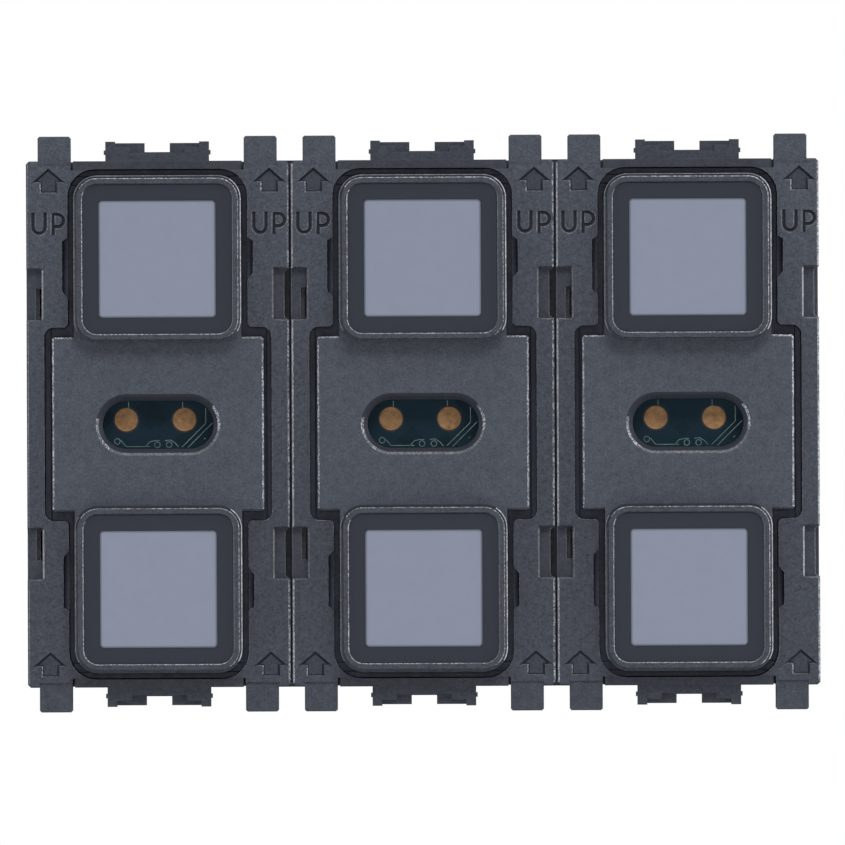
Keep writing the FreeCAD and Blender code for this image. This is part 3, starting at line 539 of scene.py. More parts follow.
# Painted highlights on edges: light dashes, a dimmer kind and a bright line
EDGE_MATERIAL = painted_edge_highlight("painted_highlight_dashes", linear(84, 88, 98), linear(196, 200, 208), 0.28)
DIM_HIGHLIGHT_MATERIAL = painted_edge_highlight("dim_painted_highlight", linear(80, 84, 92), linear(116, 120, 128), 0.45)
LINE_MATERIAL = painted_edge_highlight("bright_painted_highlight", linear(150, 154, 162), linear(212, 216, 222), 0.35)
# Darker plastic on sunk floors: painted shade
SUNK_MATERIAL = moulded_plastic("sunk_floor_shade", scaled(PLASTIC, 0.76), 0.55, 5200.0, 0.012, 0.4, 0.2)
# Lighter plastic on the ledge in the pockets beside the turrets: painted light
LEDGE_MATERIAL = moulded_plastic("pocket_ledge", linear(98, 105, 122), 0.55, 5200.0, 0.006, 0.2, 0.15)
SHADE_MATERIAL = moulded_plastic("sunk_wall_shade", scaled(PLASTIC, 0.44), 0.6, 5200.0, 0.004, 0.1, 0.1)
# Darker plastic on the slot's lip: painted shade
LIP_MATERIAL = moulded_plastic("slot_lip", scaled(PLASTIC, 0.56), 0.45, 5200.0, 0.004, 0.14, 0.15)
# Darker plastic on the recessed end bars: painted shade
BAR_SHADE_MATERIAL = moulded_plastic("end_bar_shade", scaled(PLASTIC, 0.68), 0.5, 4200.0, 0.008, 0.3, 0.2)
CREST_MATERIAL = moulded_plastic("turret_crest", linear(60, 65, 74), 0.48, 6600.0, 0.014, 0.75, 0.25)
MASK_MATERIAL = moulded_plastic("mask_plastic", linear(52, 56, 65), 0.62, 5200.0, 0.001, 0.02, 0.15)
HOUSING_MATERIAL = moulded_plastic("housing_plastic", linear(60, 66, 79), 0.5, 2600.0, 0.02, 0.22, 0.3)
# Housing plastic made lighter for the carrier plate deep in the gaps, and for the signs' tops: painted light
PLATE_MATERIAL = moulded_plastic("plate_plastic", linear(70, 79, 101), 0.5, 2600.0, 0.02, 0.22, 0.37)
WINDOW_MATERIAL = frosted_window("window_plastic", linear(146, 153, 172), linear(72, 76, 86))
BOARD_MATERIAL = circuit_board("board_green", linear(27, 48, 60))
TRACE_MATERIAL = speckled(
    "trace_green", linear(60, 86, 84), linear(42, 68, 68), 0.4, 3000.0, 0.2, metallic=0.3
)
RING_MATERIAL = speckled("pad_ring_dark", linear(14, 14, 15), linear(32, 26, 20), 0.6, 6000.0, 0.2)
PAD_MATERIAL = speckled(
    "pad_gold", linear(158, 118, 76), linear(112, 78, 52), 0.6, 5200.0, 0.16, 0.002, 0.2, 0.4
)
COPPER_MATERIAL = drawn_strip("copper_sheet", linear(200, 128, 90), 0.35, 0)
SPRING_MATERIAL = drawn_strip("spring_steel", linear(168, 168, 170), 0.3, 2)
PIN_MATERIAL = drawn_strip("pin_brass", linear(214, 176, 96), 0.28, 1)
CAN_MATERIAL = drawn_strip("can_aluminium", linear(196, 196, 200), 0.3, 1)
LED_MATERIAL = speckled("led_white", linear(232, 228, 214), linear(240, 214, 120), 0.4, 1800.0, 0.18)
CHIP_MATERIAL = speckled("chip_black", linear(34, 34, 36), linear(70, 70, 72), 0.55, 9000.0, 0.18, 0.002)
FERRITE_MATERIAL = speckled("ferrite", linear(52, 50, 50), linear(90, 88, 86), 0.7, 5000.0, 0.24, 0.01)
SOCKET_MATERIAL = moulded_plastic("socket_cream", linear(206, 198, 178), 0.45, 4000.0, 0.004, 0.05)
CABLE_MATERIAL = drawn_strip("cable_white", linear(216, 218, 222), 0.5, 2, 0.0)
RED_MATERIAL = moulded_plastic("terminal_red", linear(168, 30, 26), 0.35, 3000.0, 0.005, 0.08)
BLACK_MATERIAL = moulded_plastic("terminal_black", linear(36, 36, 39), 0.35, 3000.0, 0.005, 0.12)


# Building blocks
def merged_copy(node):
    """Editable copy of a CAD node, with its loose triangles joined into flat faces."""
    bm = bmesh.new()
    bm.from_mesh(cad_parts[node].data)
    return tidied(bm)


def is_corner(edge):
    """True on an outward corner between two faces."""
    return len(edge.link_faces) == 2 and edge.calc_face_angle_signed(0.0) > CORNER_ANGLE


def bevel(bm, geom, width, segments, affect="EDGES", clamp=True):
    """Round some edges, or the corners of a plate."""
    return bmesh.ops.bevel(
        bm, geom=geom, offset=width, offset_type="OFFSET", segments=segments, profile=0.5,
        affect=affect, clamp_overlap=clamp, material=-1,
    )


def soften(bm, width, segments, finish=PLAIN):
    """Round the outward corners that have room for it."""
    crowded = set()
    for edge in bm.edges:
        if edge.calc_length() < EDGE_ROOM * width:
            crowded.update(edge.verts)
    edges = [edge for edge in bm.edges if is_corner(edge) and not crowded.intersection(edge.verts)]
    # The new faces take the finish, a painted highlight where one is given, but the plain one where they
    # look down
    for face in bevel(bm, edges, width, segments)["faces"]:
        face.material_index = PLAIN if face.normal.z < -LEANING else finish


def tidied(bm):
    """Join what a cut has split."""
    bmesh.ops.remove_doubles(bm, verts=bm.verts[:], dist=MERGE_DISTANCE)
    bmesh.ops.dissolve_limit(
        bm, angle_limit=FLAT_ANGLE, use_dissolve_boundaries=False, verts=bm.verts[:], edges=bm.edges[:]
    )
    return bm


def new_object(name, bm):
    """Object in the scene with a bmesh's shape; the bmesh is used up."""
    mesh = bpy.data.meshes.new(name)
    bm.to_mesh(mesh)
    bm.free()
    made = bpy.data.objects.new(name, mesh)
    bpy.context.scene.collection.objects.link(made)
    return made


def add_piece(name, bm, materials, body, replaced=(), even_shading=False):
    """Turn a bmesh into a finished piece that rides on a body."""
    piece = new_object(name, bm)
    for material in materials:
        piece.data.materials.append(material)
    piece.data.shade_smooth()
    piece.data.set_sharp_from_angle(angle=SMOOTH_ANGLE)
    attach(piece, body)
    if replaced:
        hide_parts(*replaced)
    if even_shading:
        modifier = piece.modifiers.new("even_shading", "WEIGHTED_NORMAL")
        modifier.keep_sharp = True
    return piece


def face_plate(bm, corners, y):
    """One flat face across Y through (x, z) corners."""
    verts = [bm.verts.new((x, y, z)) for x, z in corners]
    return bm.faces.new(verts)


def rounded_plate(bm, half_x, half_z, radius, y, x, z):
    """One flat face across Y with round corners."""
    corners = [
        (x - half_x, z - half_z),
        (x + half_x, z - half_z),
        (x + half_x, z + half_z),
        (x - half_x, z + half_z),
    ]
    face = face_plate(bm, corners, y)
    bevel(bm, face.verts[:], radius - MERGE_DISTANCE / 4, CORNER_SEGMENTS, affect="VERTICES")
    bmesh.ops.remove_doubles(bm, verts=bm.verts[:], dist=MERGE_DISTANCE)
    return bm.faces[:][0]


def follow_profile(bm, face, start_y, profile):
    """Carry a flat face inwards and along Y, leaving a band of faces behind at each step.

    The profile lists the distance from the outline, the place along Y and the finish of each band."""
    inward = 0.0
    y = start_y
    for next_inward, next_y, finish in profile:
        before = set(bm.faces)
        bmesh.ops.inset_region(
            bm, faces=[face], thickness=next_inward - inward, use_even_offset=True, use_boundary=True
        )
        bmesh.ops.translate(bm, vec=(0.0, next_y - y, 0.0), verts=face.verts[:])
        for band in set(bm.faces) - before:
            band.material_index = finish
        inward = next_inward
        y = next_y


def join_in(bm, others):
    """Add other closed shells to a bmesh."""
    for other in others:
        mesh = bpy.data.meshes.new("part")
        other.to_mesh(mesh)
        other.free()
        bm.from_mesh(mesh)
        bpy.data.meshes.remove(mesh)


def cut_with(bm, cutters):
    """Cut closed solids, given as bmeshes, out of a bmesh."""
    joined = bmesh.new()
    join_in(joined, cutters)
    work = new_object("work", bm)
    tool = new_object("tool", joined)
    modifier = work.modifiers.new("cut", "BOOLEAN")
    modifier.operation = "DIFFERENCE"
    modifier.solver = "EXACT"
    modifier.use_self = True
    modifier.object = tool
    bpy.context.view_layer.update()
    finished = work.evaluated_get(bpy.context.evaluated_depsgraph_get())
    result = bmesh.new()
    result.from_mesh(finished.to_mesh())
    finished.to_mesh_clear()
    for item in (work, tool):
        mesh = item.data
        bpy.data.objects.remove(item)
        bpy.data.meshes.remove(mesh)
    return result


def point_outwards(bm):
    bmesh.ops.recalc_face_normals(bm, faces=bm.faces[:])


def close_shell(bm):
    """Fill the open end of a shell and point its faces outwards."""
    bmesh.ops.holes_fill(bm, edges=[edge for edge in bm.edges if edge.is_boundary], sides=0)
    point_outwards(bm)
    return bm


def pocket_cutter(x, z, half_x, half_z, radius, face_y, slope):
    """Shallow pocket with round corners and sloping walls.

    The slope is its width and its way along Y, which is below zero in a face that looks to the back."""
    width, along_y = slope
    bm = bmesh.new()
    start_y = face_y - math.copysign(OVERSHOOT, along_y)
    face = rounded_plate(bm, half_x, half_z, radius, start_y, x, z)
    follow_profile(bm, face, start_y, [(0.0, face_y, PLAIN), (width, face_y + along_y, PLAIN)])
    return close_shell(bm)


def box_cutter(low, high):
    """Box between two opposite corners."""
    low = Vector(low)
    high = Vector(high)
    size = high - low
    bm = bmesh.new()
    place = Matrix.Translation((low + high) / 2) @ Matrix.Diagonal((size.x, size.y, size.z, 1.0))
    bmesh.ops.create_cube(bm, size=1.0, matrix=place)
    return bm


def turned_solid(place, start_radius, end_radius, depth, segments, turn=-90):
    """Closed cone or rod round a place, along Y to the back, or to the front with a turn of 90."""
    bm = bmesh.new()
    bmesh.ops.create_cone(
        bm, cap_ends=True, radius1=start_radius, radius2=end_radius, depth=depth, segments=segments,
        matrix=Matrix.Translation(place) @ Matrix.Rotation(math.radians(turn), 4, "X"),
    )
    return bm


def raise_faces(bm, faces, height):
    """Pull faces towards the front, and close the back with a copy of them."""
    result = bmesh.ops.extrude_face_region(bm, geom=faces, use_keep_orig=True)
    moved = [item for item in result["geom"] if isinstance(item, bmesh.types.BMVert)]
    bmesh.ops.translate(bm, vec=(0.0, -height, 0.0), verts=moved)


def strip_piece(bm, points, width, y, height):
    """Thin raised strip along (x, z) points, standing out from a plane towards the front."""
    left = []
    right = []
    count = len(points)
    for index in range(count):
        here = Vector(points[index])
        before = Vector(points[max(index - 1, 0)])
        after = Vector(points[min(index + 1, count - 1)])
        along = (after - before).normalized()
        side = Vector((-along.y, along.x)) * (width / 2)
        left.append(bm.verts.new((here.x + side.x, y, here.y + side.y)))
        right.append(bm.verts.new((here.x - side.x, y, here.y - side.y)))
    faces = []
    for index in range(count - 1):
        faces.append(bm.faces.new((left[index], right[index], right[index + 1], left[index + 1])))
    raise_faces(bm, faces, height)


def ring_piece(bm, x, z, inner, outer, y, height):
    """Flat ring standing out from a plane towards the front."""
    place = Matrix.Translation((x, y, z)) @ Matrix.Rotation(math.radians(90), 4, "X")
    made = bmesh.ops.create_circle(bm, cap_ends=True, radius=outer, segments=48, matrix=place)
    face = made["verts"][0].link_faces[0]
    ring = bmesh.ops.inset_region(
        bm, faces=[face], thickness=outer - inner, use_even_offset=True, use_boundary=True
    )["faces"]
    bmesh.ops.delete(bm, geom=[face], context="FACES_ONLY")
    raise_faces(bm, ring, height)


# Marks in the frame's face
def arrow_cutter(x, tip_z, face_y):
    """Upward arrow with a sloping edge and steep walls."""
    half = ARROW_WIDTH / 2
    shaft = ARROW_SHAFT_WIDTH / 2
    neck_z = tip_z - ARROW_HEAD_HEIGHT
    foot_z = tip_z - ARROW_HEIGHT
    corners = [
        (x, tip_z), (x - half, neck_z), (x - shaft, neck_z), (x - shaft, foot_z),
        (x + shaft, foot_z), (x + shaft, neck_z), (x + half, neck_z),
    ]
    bm = bmesh.new()
    face = face_plate(bm, corners, face_y - OVERSHOOT)
    follow_profile(bm, face, face_y - OVERSHOOT, [
        (0.0, face_y, PLAIN),
        (ARROW_EDGE, face_y + ARROW_EDGE, PLAIN),
        (ARROW_EDGE + ARROW_WALL_SLOPE, face_y + ARROW_DEPTH, PLAIN),
    ])
    return close_shell(bm)


def stroke_cutter(points, face_y, radius, depth):
    """Round-bottomed groove along a line of (x, z) points in the frame's face."""
    curve = bpy.data.curves.new("stroke", "CURVE")
    curve.dimensions = "3D"
    curve.bevel_depth = radius
    curve.bevel_resolution = 3
    curve.use_fill_caps = True
    spline = curve.splines.new("POLY")
    spline.points.add(len(points) - 1)
    for point, (x, z) in zip(spline.points, points):
        point.co = (x, face_y + depth - radius, z, 1.0)
    holder = bpy.data.objects.new("stroke", curve)
    mesh = bpy.data.meshes.new_from_object(holder)
    bm = bmesh.new()
    bm.from_mesh(mesh)
    bmesh.ops.remove_doubles(bm, verts=bm.verts[:], dist=MERGE_DISTANCE)
    point_outwards(bm)
    bpy.data.objects.remove(holder)
    bpy.data.meshes.remove(mesh)
    bpy.data.curves.remove(curve)
    return bm


def arc_points(centre_x, centre_z, radius, start, end, count):
    """Points (x, z) along an arc between two angles in degrees."""
    points = []
    for index in range(count + 1):
        angle = math.radians(start + (end - start) * index / count)
        points.append((centre_x + radius * math.cos(angle), centre_z + radius * math.sin(angle)))
    return points


def word_strokes(x):
    """Lines of the letters U and P."""
    low = WORD_BASE_Z
    high = WORD_BASE_Z + WORD_HEIGHT
    radius = LETTER_WIDTH / 2
    bowl = arc_points(x + radius, low + radius + WORD_STROKE, radius, 180, 360, 12)
    top = high + WORD_STROKE
    letter_u = [(x, top)] + bowl + [(x + LETTER_WIDTH, top)]
    stem_x = x + LETTER_WIDTH + LETTER_GAP
    loop = arc_points(stem_x + LOOP_START, high - LOOP_RADIUS, LOOP_RADIUS, 90, -90, 10)
    letter_p = [(stem_x, low), (stem_x, high)] + loop + [(stem_x, high - 2 * LOOP_RADIUS)]
    return [letter_u, letter_p]


def is_in_mark(point, centre_x):
    """True where the arrows and the words are."""
    along = abs(point.x - centre_x)
    if not MARKS_INSIDE < along < MARKS_OUTSIDE:
        return False
    in_upper = WORD_BASE_Z - WORD_HEIGHT / 2 < point.z < UPPER_ARROW_TIP_Z
    in_lower = LOWER_ARROW_TIP_Z - ARROW_HEIGHT < point.z < LOWER_ARROW_TIP_Z
    return in_upper or in_lower


def mark_finish(face, sunk_by):
    """Finish of a face of an arrow or a letter, by how deep it lies and the way it looks: painted shade on
    walls, grooves and floors, painted highlights on the letters' edges and on arrow edges that look up or to
    the right.
    """
    z = face.calc_center_median().z
    if WORD_BASE_Z - WORD_HEIGHT < z < WORD_BASE_Z + 1.2 * WORD_HEIGHT:
        return DIM_HIGHLIGHT if sunk_by < WORD_EDGE_DEPTH + TOUCH else DARK
    if sunk_by > ARROW_DEPTH - TOUCH:
        return SUNK
    if sunk_by > ARROW_EDGE - TOUCH:
        return DARK
    if face.normal.z > LEANING:
        return DIM_HIGHLIGHT
    return HIGHLIGHT if face.normal.x > MARK_LEANING_RIGHT else DARK


def finish_marks(bm, centre_x, face_y):
    for face in bm.faces:
        point = face.calc_center_median()
        sunk_by = point.y - face_y
        if TOUCH < sunk_by < ARROW_DEPTH + TOUCH and is_in_mark(point, centre_x):
            face.material_index = mark_finish(face, sunk_by)


def frame_marks(centre_x, face_y):
    cutters = []
    for arrow_x in (ARROW_LEFT_X, ARROW_RIGHT_X):
        for tip_z in (UPPER_ARROW_TIP_Z, LOWER_ARROW_TIP_Z):
            cutters.append(arrow_cutter(centre_x + arrow_x, tip_z, face_y))
    for word_x in (WORD_LEFT_X, WORD_RIGHT_X):
        for stroke in word_strokes(centre_x + word_x):
            cutters.append(stroke_cutter(stroke, face_y, WORD_STROKE, WORD_DEPTH))
            trough = bmesh.new()
            width = 2 * (WORD_STROKE + WORD_EDGE)
            strip_piece(trough, stroke, width, face_y + WORD_EDGE_DEPTH, WORD_EDGE_DEPTH + OVERSHOOT)
            point_outwards(trough)
            cutters.append(trough)
    return cutters


# Pieces
def corner_rods(centre_x):
    """Rods that round the corners of the opening's wide part."""
    radius = OPENING_WIDE_RADIUS
    cutters = []
    for side_x, side_z in CORNERS:
        x = centre_x + side_x * (OPENING_WIDE_HALF - radius)
        z = side_z * (OPENING_WIDE_HIGH - radius)
        cutters.append(turned_solid((x, 0.0, z), radius, radius, 20 * radius, 24, turn=90))
    return cutters


def finish_chamfers(bm, back_y):
    """Painted highlight on the sloping faces in front of a plane, where they don't look down."""
    for face in bm.faces:
        slopes = CHAMFER_LEANING[0] < -face.normal.y < CHAMFER_LEANING[1]
        if slopes and face.material_index == PLAIN and face.calc_center_median().y < back_y:
            if face.normal.z > -LEANING:
                face.material_index = HIGHLIGHT


def plain_ends(bm):
    """No painted highlight on the edges of the end walls, with the tabs and the tongues."""
    for face in bm.faces:
        if face.material_index == HIGHLIGHT and abs(face.calc_center_median().z) > TONGUE_LOW:
            face.material_index = PLAIN


def tongue_recesses(centre_x, face_y):
    """Shallow steps that set the end bars a little behind the frame's face."""
    cutters = []
    left = centre_x - TONGUE_RECESS_HALF
    right = centre_x + TONGUE_RECESS_HALF
    for side in (1, -1):
        low_z, high_z = sorted((side * TONGUE_RECESS_LOW, side * TONGUE_RECESS_HIGH))
        low = (left, face_y - OVERSHOOT, low_z)
        cutters.append(box_cutter(low, (right, face_y + TONGUE_RECESS, high_z)))
    return cutters


def finish_tongues(bm, centre_x, face_y):
    """Darker tones on the end bars, set behind the face, and on the snap tongues that stand on them: painted
    shade.
    """
    for face in bm.faces:
        point = face.calc_center_median()
        is_end = abs(point.x - centre_x) < TONGUE_RECESS_HALF and abs(point.z) > TONGUE_RECESS_LOW
        if is_end and -face.normal.y > FLAT and point.y > face_y + TOUCH:
            face.material_index = DIMMED if point.y < face_y + TONGUE_RECESS + TOUCH else SUNK


def notch_lines(centre_x, face_y):
    """Slopes along the edges of the side notches."""
    inside = NOTCH_INSIDE - NOTCH_LINE
    outside = NOTCH_INSIDE + NOTCH_REACH
    half_x = (outside - inside) / 2
    half_z = (NOTCH_HIGH - NOTCH_LOW) / 2 + NOTCH_LINE
    slope = (NOTCH_SLOPE, NOTCH_SLOPE)
    cutters = []
    for side_x, side_z in CORNERS:
        x = centre_x + side_x * (inside + outside) / 2
        z = side_z * (NOTCH_LOW + NOTCH_HIGH) / 2
        cutters.append(pocket_cutter(x, z, half_x, half_z, NOTCH_RADIUS, face_y, slope))
    return cutters


def finish_floors(bm, centre_x, face_y):
    """Painted shade on the notches' floor and a painted highlight line round them, a painted highlight on
    left edges, and a lighter ledge in the pockets as painted light.

    The panel's own left edge has no painted highlight line."""
    for face in bm.faces:
        point = face.calc_center_median()
        along = point.x - centre_x
        is_flat = -face.normal.y > FLAT
        beside_notch = NOTCH_LOW - 2 * NOTCH_LINE < abs(point.z) < NOTCH_HIGH + 2 * NOTCH_LINE
        if face.material_index == HIGHLIGHT:
            if beside_notch and abs(along) > NOTCH_INSIDE - 2 * NOTCH_LINE:
                face.material_index = DIM_HIGHLIGHT if abs(face.normal.z) > LEANING else LINE
            elif along < -MARKS_OUTSIDE:
                face.material_index = LINE if point.x > -MODULE_PITCH else PLAIN
        elif is_flat and beside_notch and abs(point.y - face_y - NOTCH_FLOOR) < TOUCH:
            face.material_index = SUNK
        elif is_flat and abs(point.y - LEDGE_Y) < TOUCH:
            face.material_index = LEDGE


def seam_ribs(centre_x, node):
    """Ribs behind the face that close the seam to the next frame at its upper and lower end, dark with
    painted shade.
    """
    front_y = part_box(node)[0].y + SEAM_RIB_DEPTH
    end_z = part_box(node)[1].z - TAB_REACH - TOUCH
    ribs = []
    for side_x in (-1, 1):
        seam_x = centre_x + side_x * (MODULE_PITCH / 2 - TOUCH)
        if abs(seam_x) > MODULE_PITCH:
            continue
        xs = sorted((seam_x, seam_x - side_x * SEAM_RIB_SIZE))
        for side_z in (-1, 1):
            zs = sorted((side_z * end_z, side_z * (end_z - SEAM_RIB_SIZE)))
            rib = box_cutter((xs[0], front_y, zs[0]), (xs[1], front_y + SEAM_RIB_SIZE, zs[1]))
            for face in rib.faces:
                face.material_index = DARK
            ribs.append(rib)
    return ribs


def make_front_frame(module):
    node = module + "_front_frame"
    face_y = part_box(node)[0].y
    centre_x = middle(node).x
    bm = tidied(cut_with(merged_copy(node), corner_rods(centre_x) + tongue_recesses(centre_x, face_y)))
    soften(bm, FRAME_EDGE, 2, finish=HIGHLIGHT)
    bm = cut_with(bm, frame_marks(centre_x, face_y) + notch_lines(centre_x, face_y))
    finish_marks(bm, centre_x, face_y)
    finish_chamfers(bm, face_y + FRAME_CHAMFER)
    plain_ends(bm)
    finish_tongues(bm, centre_x, face_y)
    finish_floors(bm, centre_x, face_y)
    join_in(bm, seam_ribs(centre_x, node))
    materials = [
        FRAME_MATERIAL, EDGE_MATERIAL, SUNK_MATERIAL, BAR_SHADE_MATERIAL, DIM_HIGHLIGHT_MATERIAL, SHADE_MATERIAL,
        LINE_MATERIAL, LEDGE_MATERIAL,
    ]
    add_piece(module + "_frame_shell", bm, materials, "panel", [node], True)


def rim_ring(x, z):
    """Closed ring on top of a turret: outer edge, step, crest and inner edge."""
    root_y = CREST_Y + RIM_STEP_DEPTH + RIM_LINE
    step_y = CREST_Y + RIM_STEP_DEPTH
    bm = bmesh.new()
    face = rounded_plate(bm, TURRET_HALF, TURRET_HALF, TURRET_CORNER_RADIUS, root_y + RIM_OVERLAP, x, z)
    follow_profile(bm, face, root_y + RIM_OVERLAP, [
        (0.0, root_y, PLAIN),
        (RIM_LINE, step_y, DIM_HIGHLIGHT),
        (RIM_STEP_WIDTH, step_y, DARK),
        (RIM_STEP_WIDTH, CREST_Y + RIM_LINE, DIMMED),
        (RIM_STEP_WIDTH + RIM_LINE, CREST_Y, SUNK),
        (RIM_WIDTH - RIM_LINE, CREST_Y, DIMMED),
        (RIM_WIDTH, CREST_Y + RIM_LINE, HIGHLIGHT),
        (RIM_WIDTH, root_y + RIM_OVERLAP, DIMMED),
    ])
    bmesh.ops.delete(bm, geom=[face], context="FACES_ONLY")
    bmesh.ops.bridge_loops(bm, edges=[edge for edge in bm.edges if edge.is_boundary])
    point_outwards(bm)
    finish_rim(bm, z)
    return bm


def finish_rim(bm, middle_z):
    """Painted highlights on the rim's edges by the way they look, brighter to the right, dimmer to the left
    and none looking down; painted shade on the step along the top only and on the lower turret's upper outer
    edge.
    """
    for face in bm.faces:
        above = face.calc_center_median().z - middle_z
        finish = face.material_index
        looks_up = face.normal.z > LEANING
        looks_down = face.normal.z < -LEANING
        if finish == DARK and above < TURRET_HALF - TURRET_CORNER_RADIUS:
            face.material_index = DIMMED
        elif finish == SUNK:
            face.material_index = HIGHLIGHT if looks_up or face.normal.x > LEANING else DIMMED
        elif finish in (HIGHLIGHT, DIM_HIGHLIGHT) and looks_down:
            face.material_index = DIMMED
        elif finish == HIGHLIGHT and face.normal.x < -LEANING:
            face.material_index = DIM_HIGHLIGHT
        elif finish == DIM_HIGHLIGHT and face.normal.x > LEANING:
            face.material_index = LINE
        elif finish == DIM_HIGHLIGHT and looks_up and middle_z < 0:
            face.material_index = DARK


def crest_cutter(x, z):
    """Box that takes off the part of a turret that its ring stands in for."""
    reach = TURRET_HALF + OVERSHOOT
    low = (x - reach, CREST_Y - OVERSHOOT, z - reach)
    return box_cutter(low, (x + reach, CREST_Y + RIM_STEP_DEPTH + RIM_LINE, z + reach))


def slot_line_cutter(x):
    """Thin slope along the outer edge of the slot's lip."""
    half_x = SLOT_LIP_HALF + SLOT_LINE
    half_z = SLOT_LIP_HIGH + SLOT_LINE
    slope = (SLOT_SLOPE_WIDTH, SLOT_SLOPE_DEPTH)
    return pocket_cutter(x, SLOT_MIDDLE_Z, half_x, half_z, half_z, BLOCK_FACE_Y, slope)


def line_finish(along, up):
    """Finish of the line round the slot at a place from the slot's middle: a painted highlight where it
    shines, a dimmer one below and painted shade above.
    """
    end = SLOT_LIP_HALF - SLOT_LIP_HIGH
    if along < -end:
        angle = math.degrees(math.atan2(up, along + end)) % 360
        shines = LEFT_SHINE[0] < angle < LEFT_SHINE[1]
    elif along > end:
        angle = math.degrees(math.atan2(up, along - end))
        shines = RIGHT_SHINE[0] < angle < RIGHT_SHINE[1]
    else:
        shines = False
    if shines:
        return HIGHLIGHT
    return DIM_HIGHLIGHT if up < 0 else SUNK


def finish_lip(bm, centre_x):
    """Line along the slot's outer edge with painted highlights in places, and painted shade on the lip
    inside it.
    """
    for face in bm.faces:
        point = face.calc_center_median()
        along = point.x - centre_x
        is_near = abs(along) < SLOT_LIP_HALF + SLOT_LINE and abs(point.z) < SLOT_LIP_HIGH + OVERSHOOT
        slopes = LIP_LEANING[0] < -face.normal.y < LIP_LEANING[1]
        if is_near and slopes and BLOCK_FACE_Y < point.y < 0:
            is_line = point.y < BLOCK_FACE_Y + SLOT_LINE
            face.material_index = line_finish(along, point.z - SLOT_MIDDLE_Z) if is_line else SUNK


def make_carriage(module):
    node = module + "_sensor_carriage"
    x = middle(module + "_upper_mask").x
    cutters = [crest_cutter(x, side * TURRET_OFFSET_Z) for side in (-1, 1)]
    bm = tidied(cut_with(merged_copy(node), cutters + [slot_line_cutter(x)]))
    finish_chamfers(bm, BLOCK_FACE_Y + BLOCK_CHAMFER)
    finish_lip(bm, x)
    join_in(bm, [rim_ring(x, side * TURRET_OFFSET_Z) for side in (-1, 1)])
    materials = [
        CARRIAGE_MATERIAL, EDGE_MATERIAL, LIP_MATERIAL, CREST_MATERIAL, DIM_HIGHLIGHT_MATERIAL, SHADE_MATERIAL,
        LINE_MATERIAL,
    ]
    body = module + "_touch_unit"
    add_piece(module + "_carriage_shell", bm, materials, body, [node], True)


def make_turret_fill(module, side):
    """Mask and window of a turret."""
    turret = module + "_" + side
    for node, name, material, slot in (
        ("_mask", "_border", MASK_MATERIAL, "mask_plastic"),
        ("_diffuser", "_window", WINDOW_MATERIAL, "window_plastic"),
    ):
        bm = merged_copy(turret + node)
        add_piece(turret + name, bm, [material], module + "_touch_unit", [turret + node])


def make_board_marks(module):
    """Copper lines and the dark rings round the pads, on the part of the board that the slot shows."""
    body = module + "_touch_unit"
    x = middle(module + "_upper_mask").x
    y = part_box(module + "_sensor_board")[0].y
    traces = bmesh.new()
    for points in BOARD_LINES:
        placed = [(x + along * MM, up * MM) for along, up in points]
        strip_piece(traces, placed, TRACE_WIDTH, y, TRACE_HEIGHT)
    for along, up in BOARD_VIAS:
        ring_piece(traces, x + along * MM, up * MM, VIA_HOLE, VIA_RADIUS, y, TRACE_HEIGHT)
    point_outwards(traces)
    add_piece(module + "_board_traces", traces, [TRACE_MATERIAL], body)
    rings = bmesh.new()
    low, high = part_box(module + "_contact_pads")
    radius = (high.z - low.z) / 2
    for pad_x in (low.x + radius, high.x - radius):
        ring_piece(rings, pad_x, low.z + radius, radius, radius + PAD_RING_WIDTH, y, TRACE_HEIGHT)
    point_outwards(rings)
    add_piece(module + "_pad_rings", rings, [RING_MATERIAL], body)


def make_springs(module):
    """Springs and flat cable, each given a mesh of its own. In the real panel they give way as the touch
    unit is pressed.
    """
    for node, name, material, slot in (
        ("_return_springs", "_leaf_springs", SPRING_MATERIAL, "spring_steel"),
        ("_ribbon_cable", "_flat_cable", CABLE_MATERIAL, "cable_white"),
    ):
        bm = merged_copy(module + node)
        piece = add_piece(module + name, bm, [material], "panel", [module + node])
        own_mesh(piece)


def make_plate():
    bm = merged_copy("carrier_plate")
    soften(bm, FRAME_EDGE, 2)
    add_piece("plate_shell", bm, [PLATE_MATERIAL], "panel", ["carrier_plate"], True)


def raised_bar(x, z, half_x, half_z, back_y):
    low = (x - half_x, back_y - TOUCH, z - half_z)
    return box_cutter(low, (x + half_x, back_y + SIGN_HEIGHT, z + half_z))


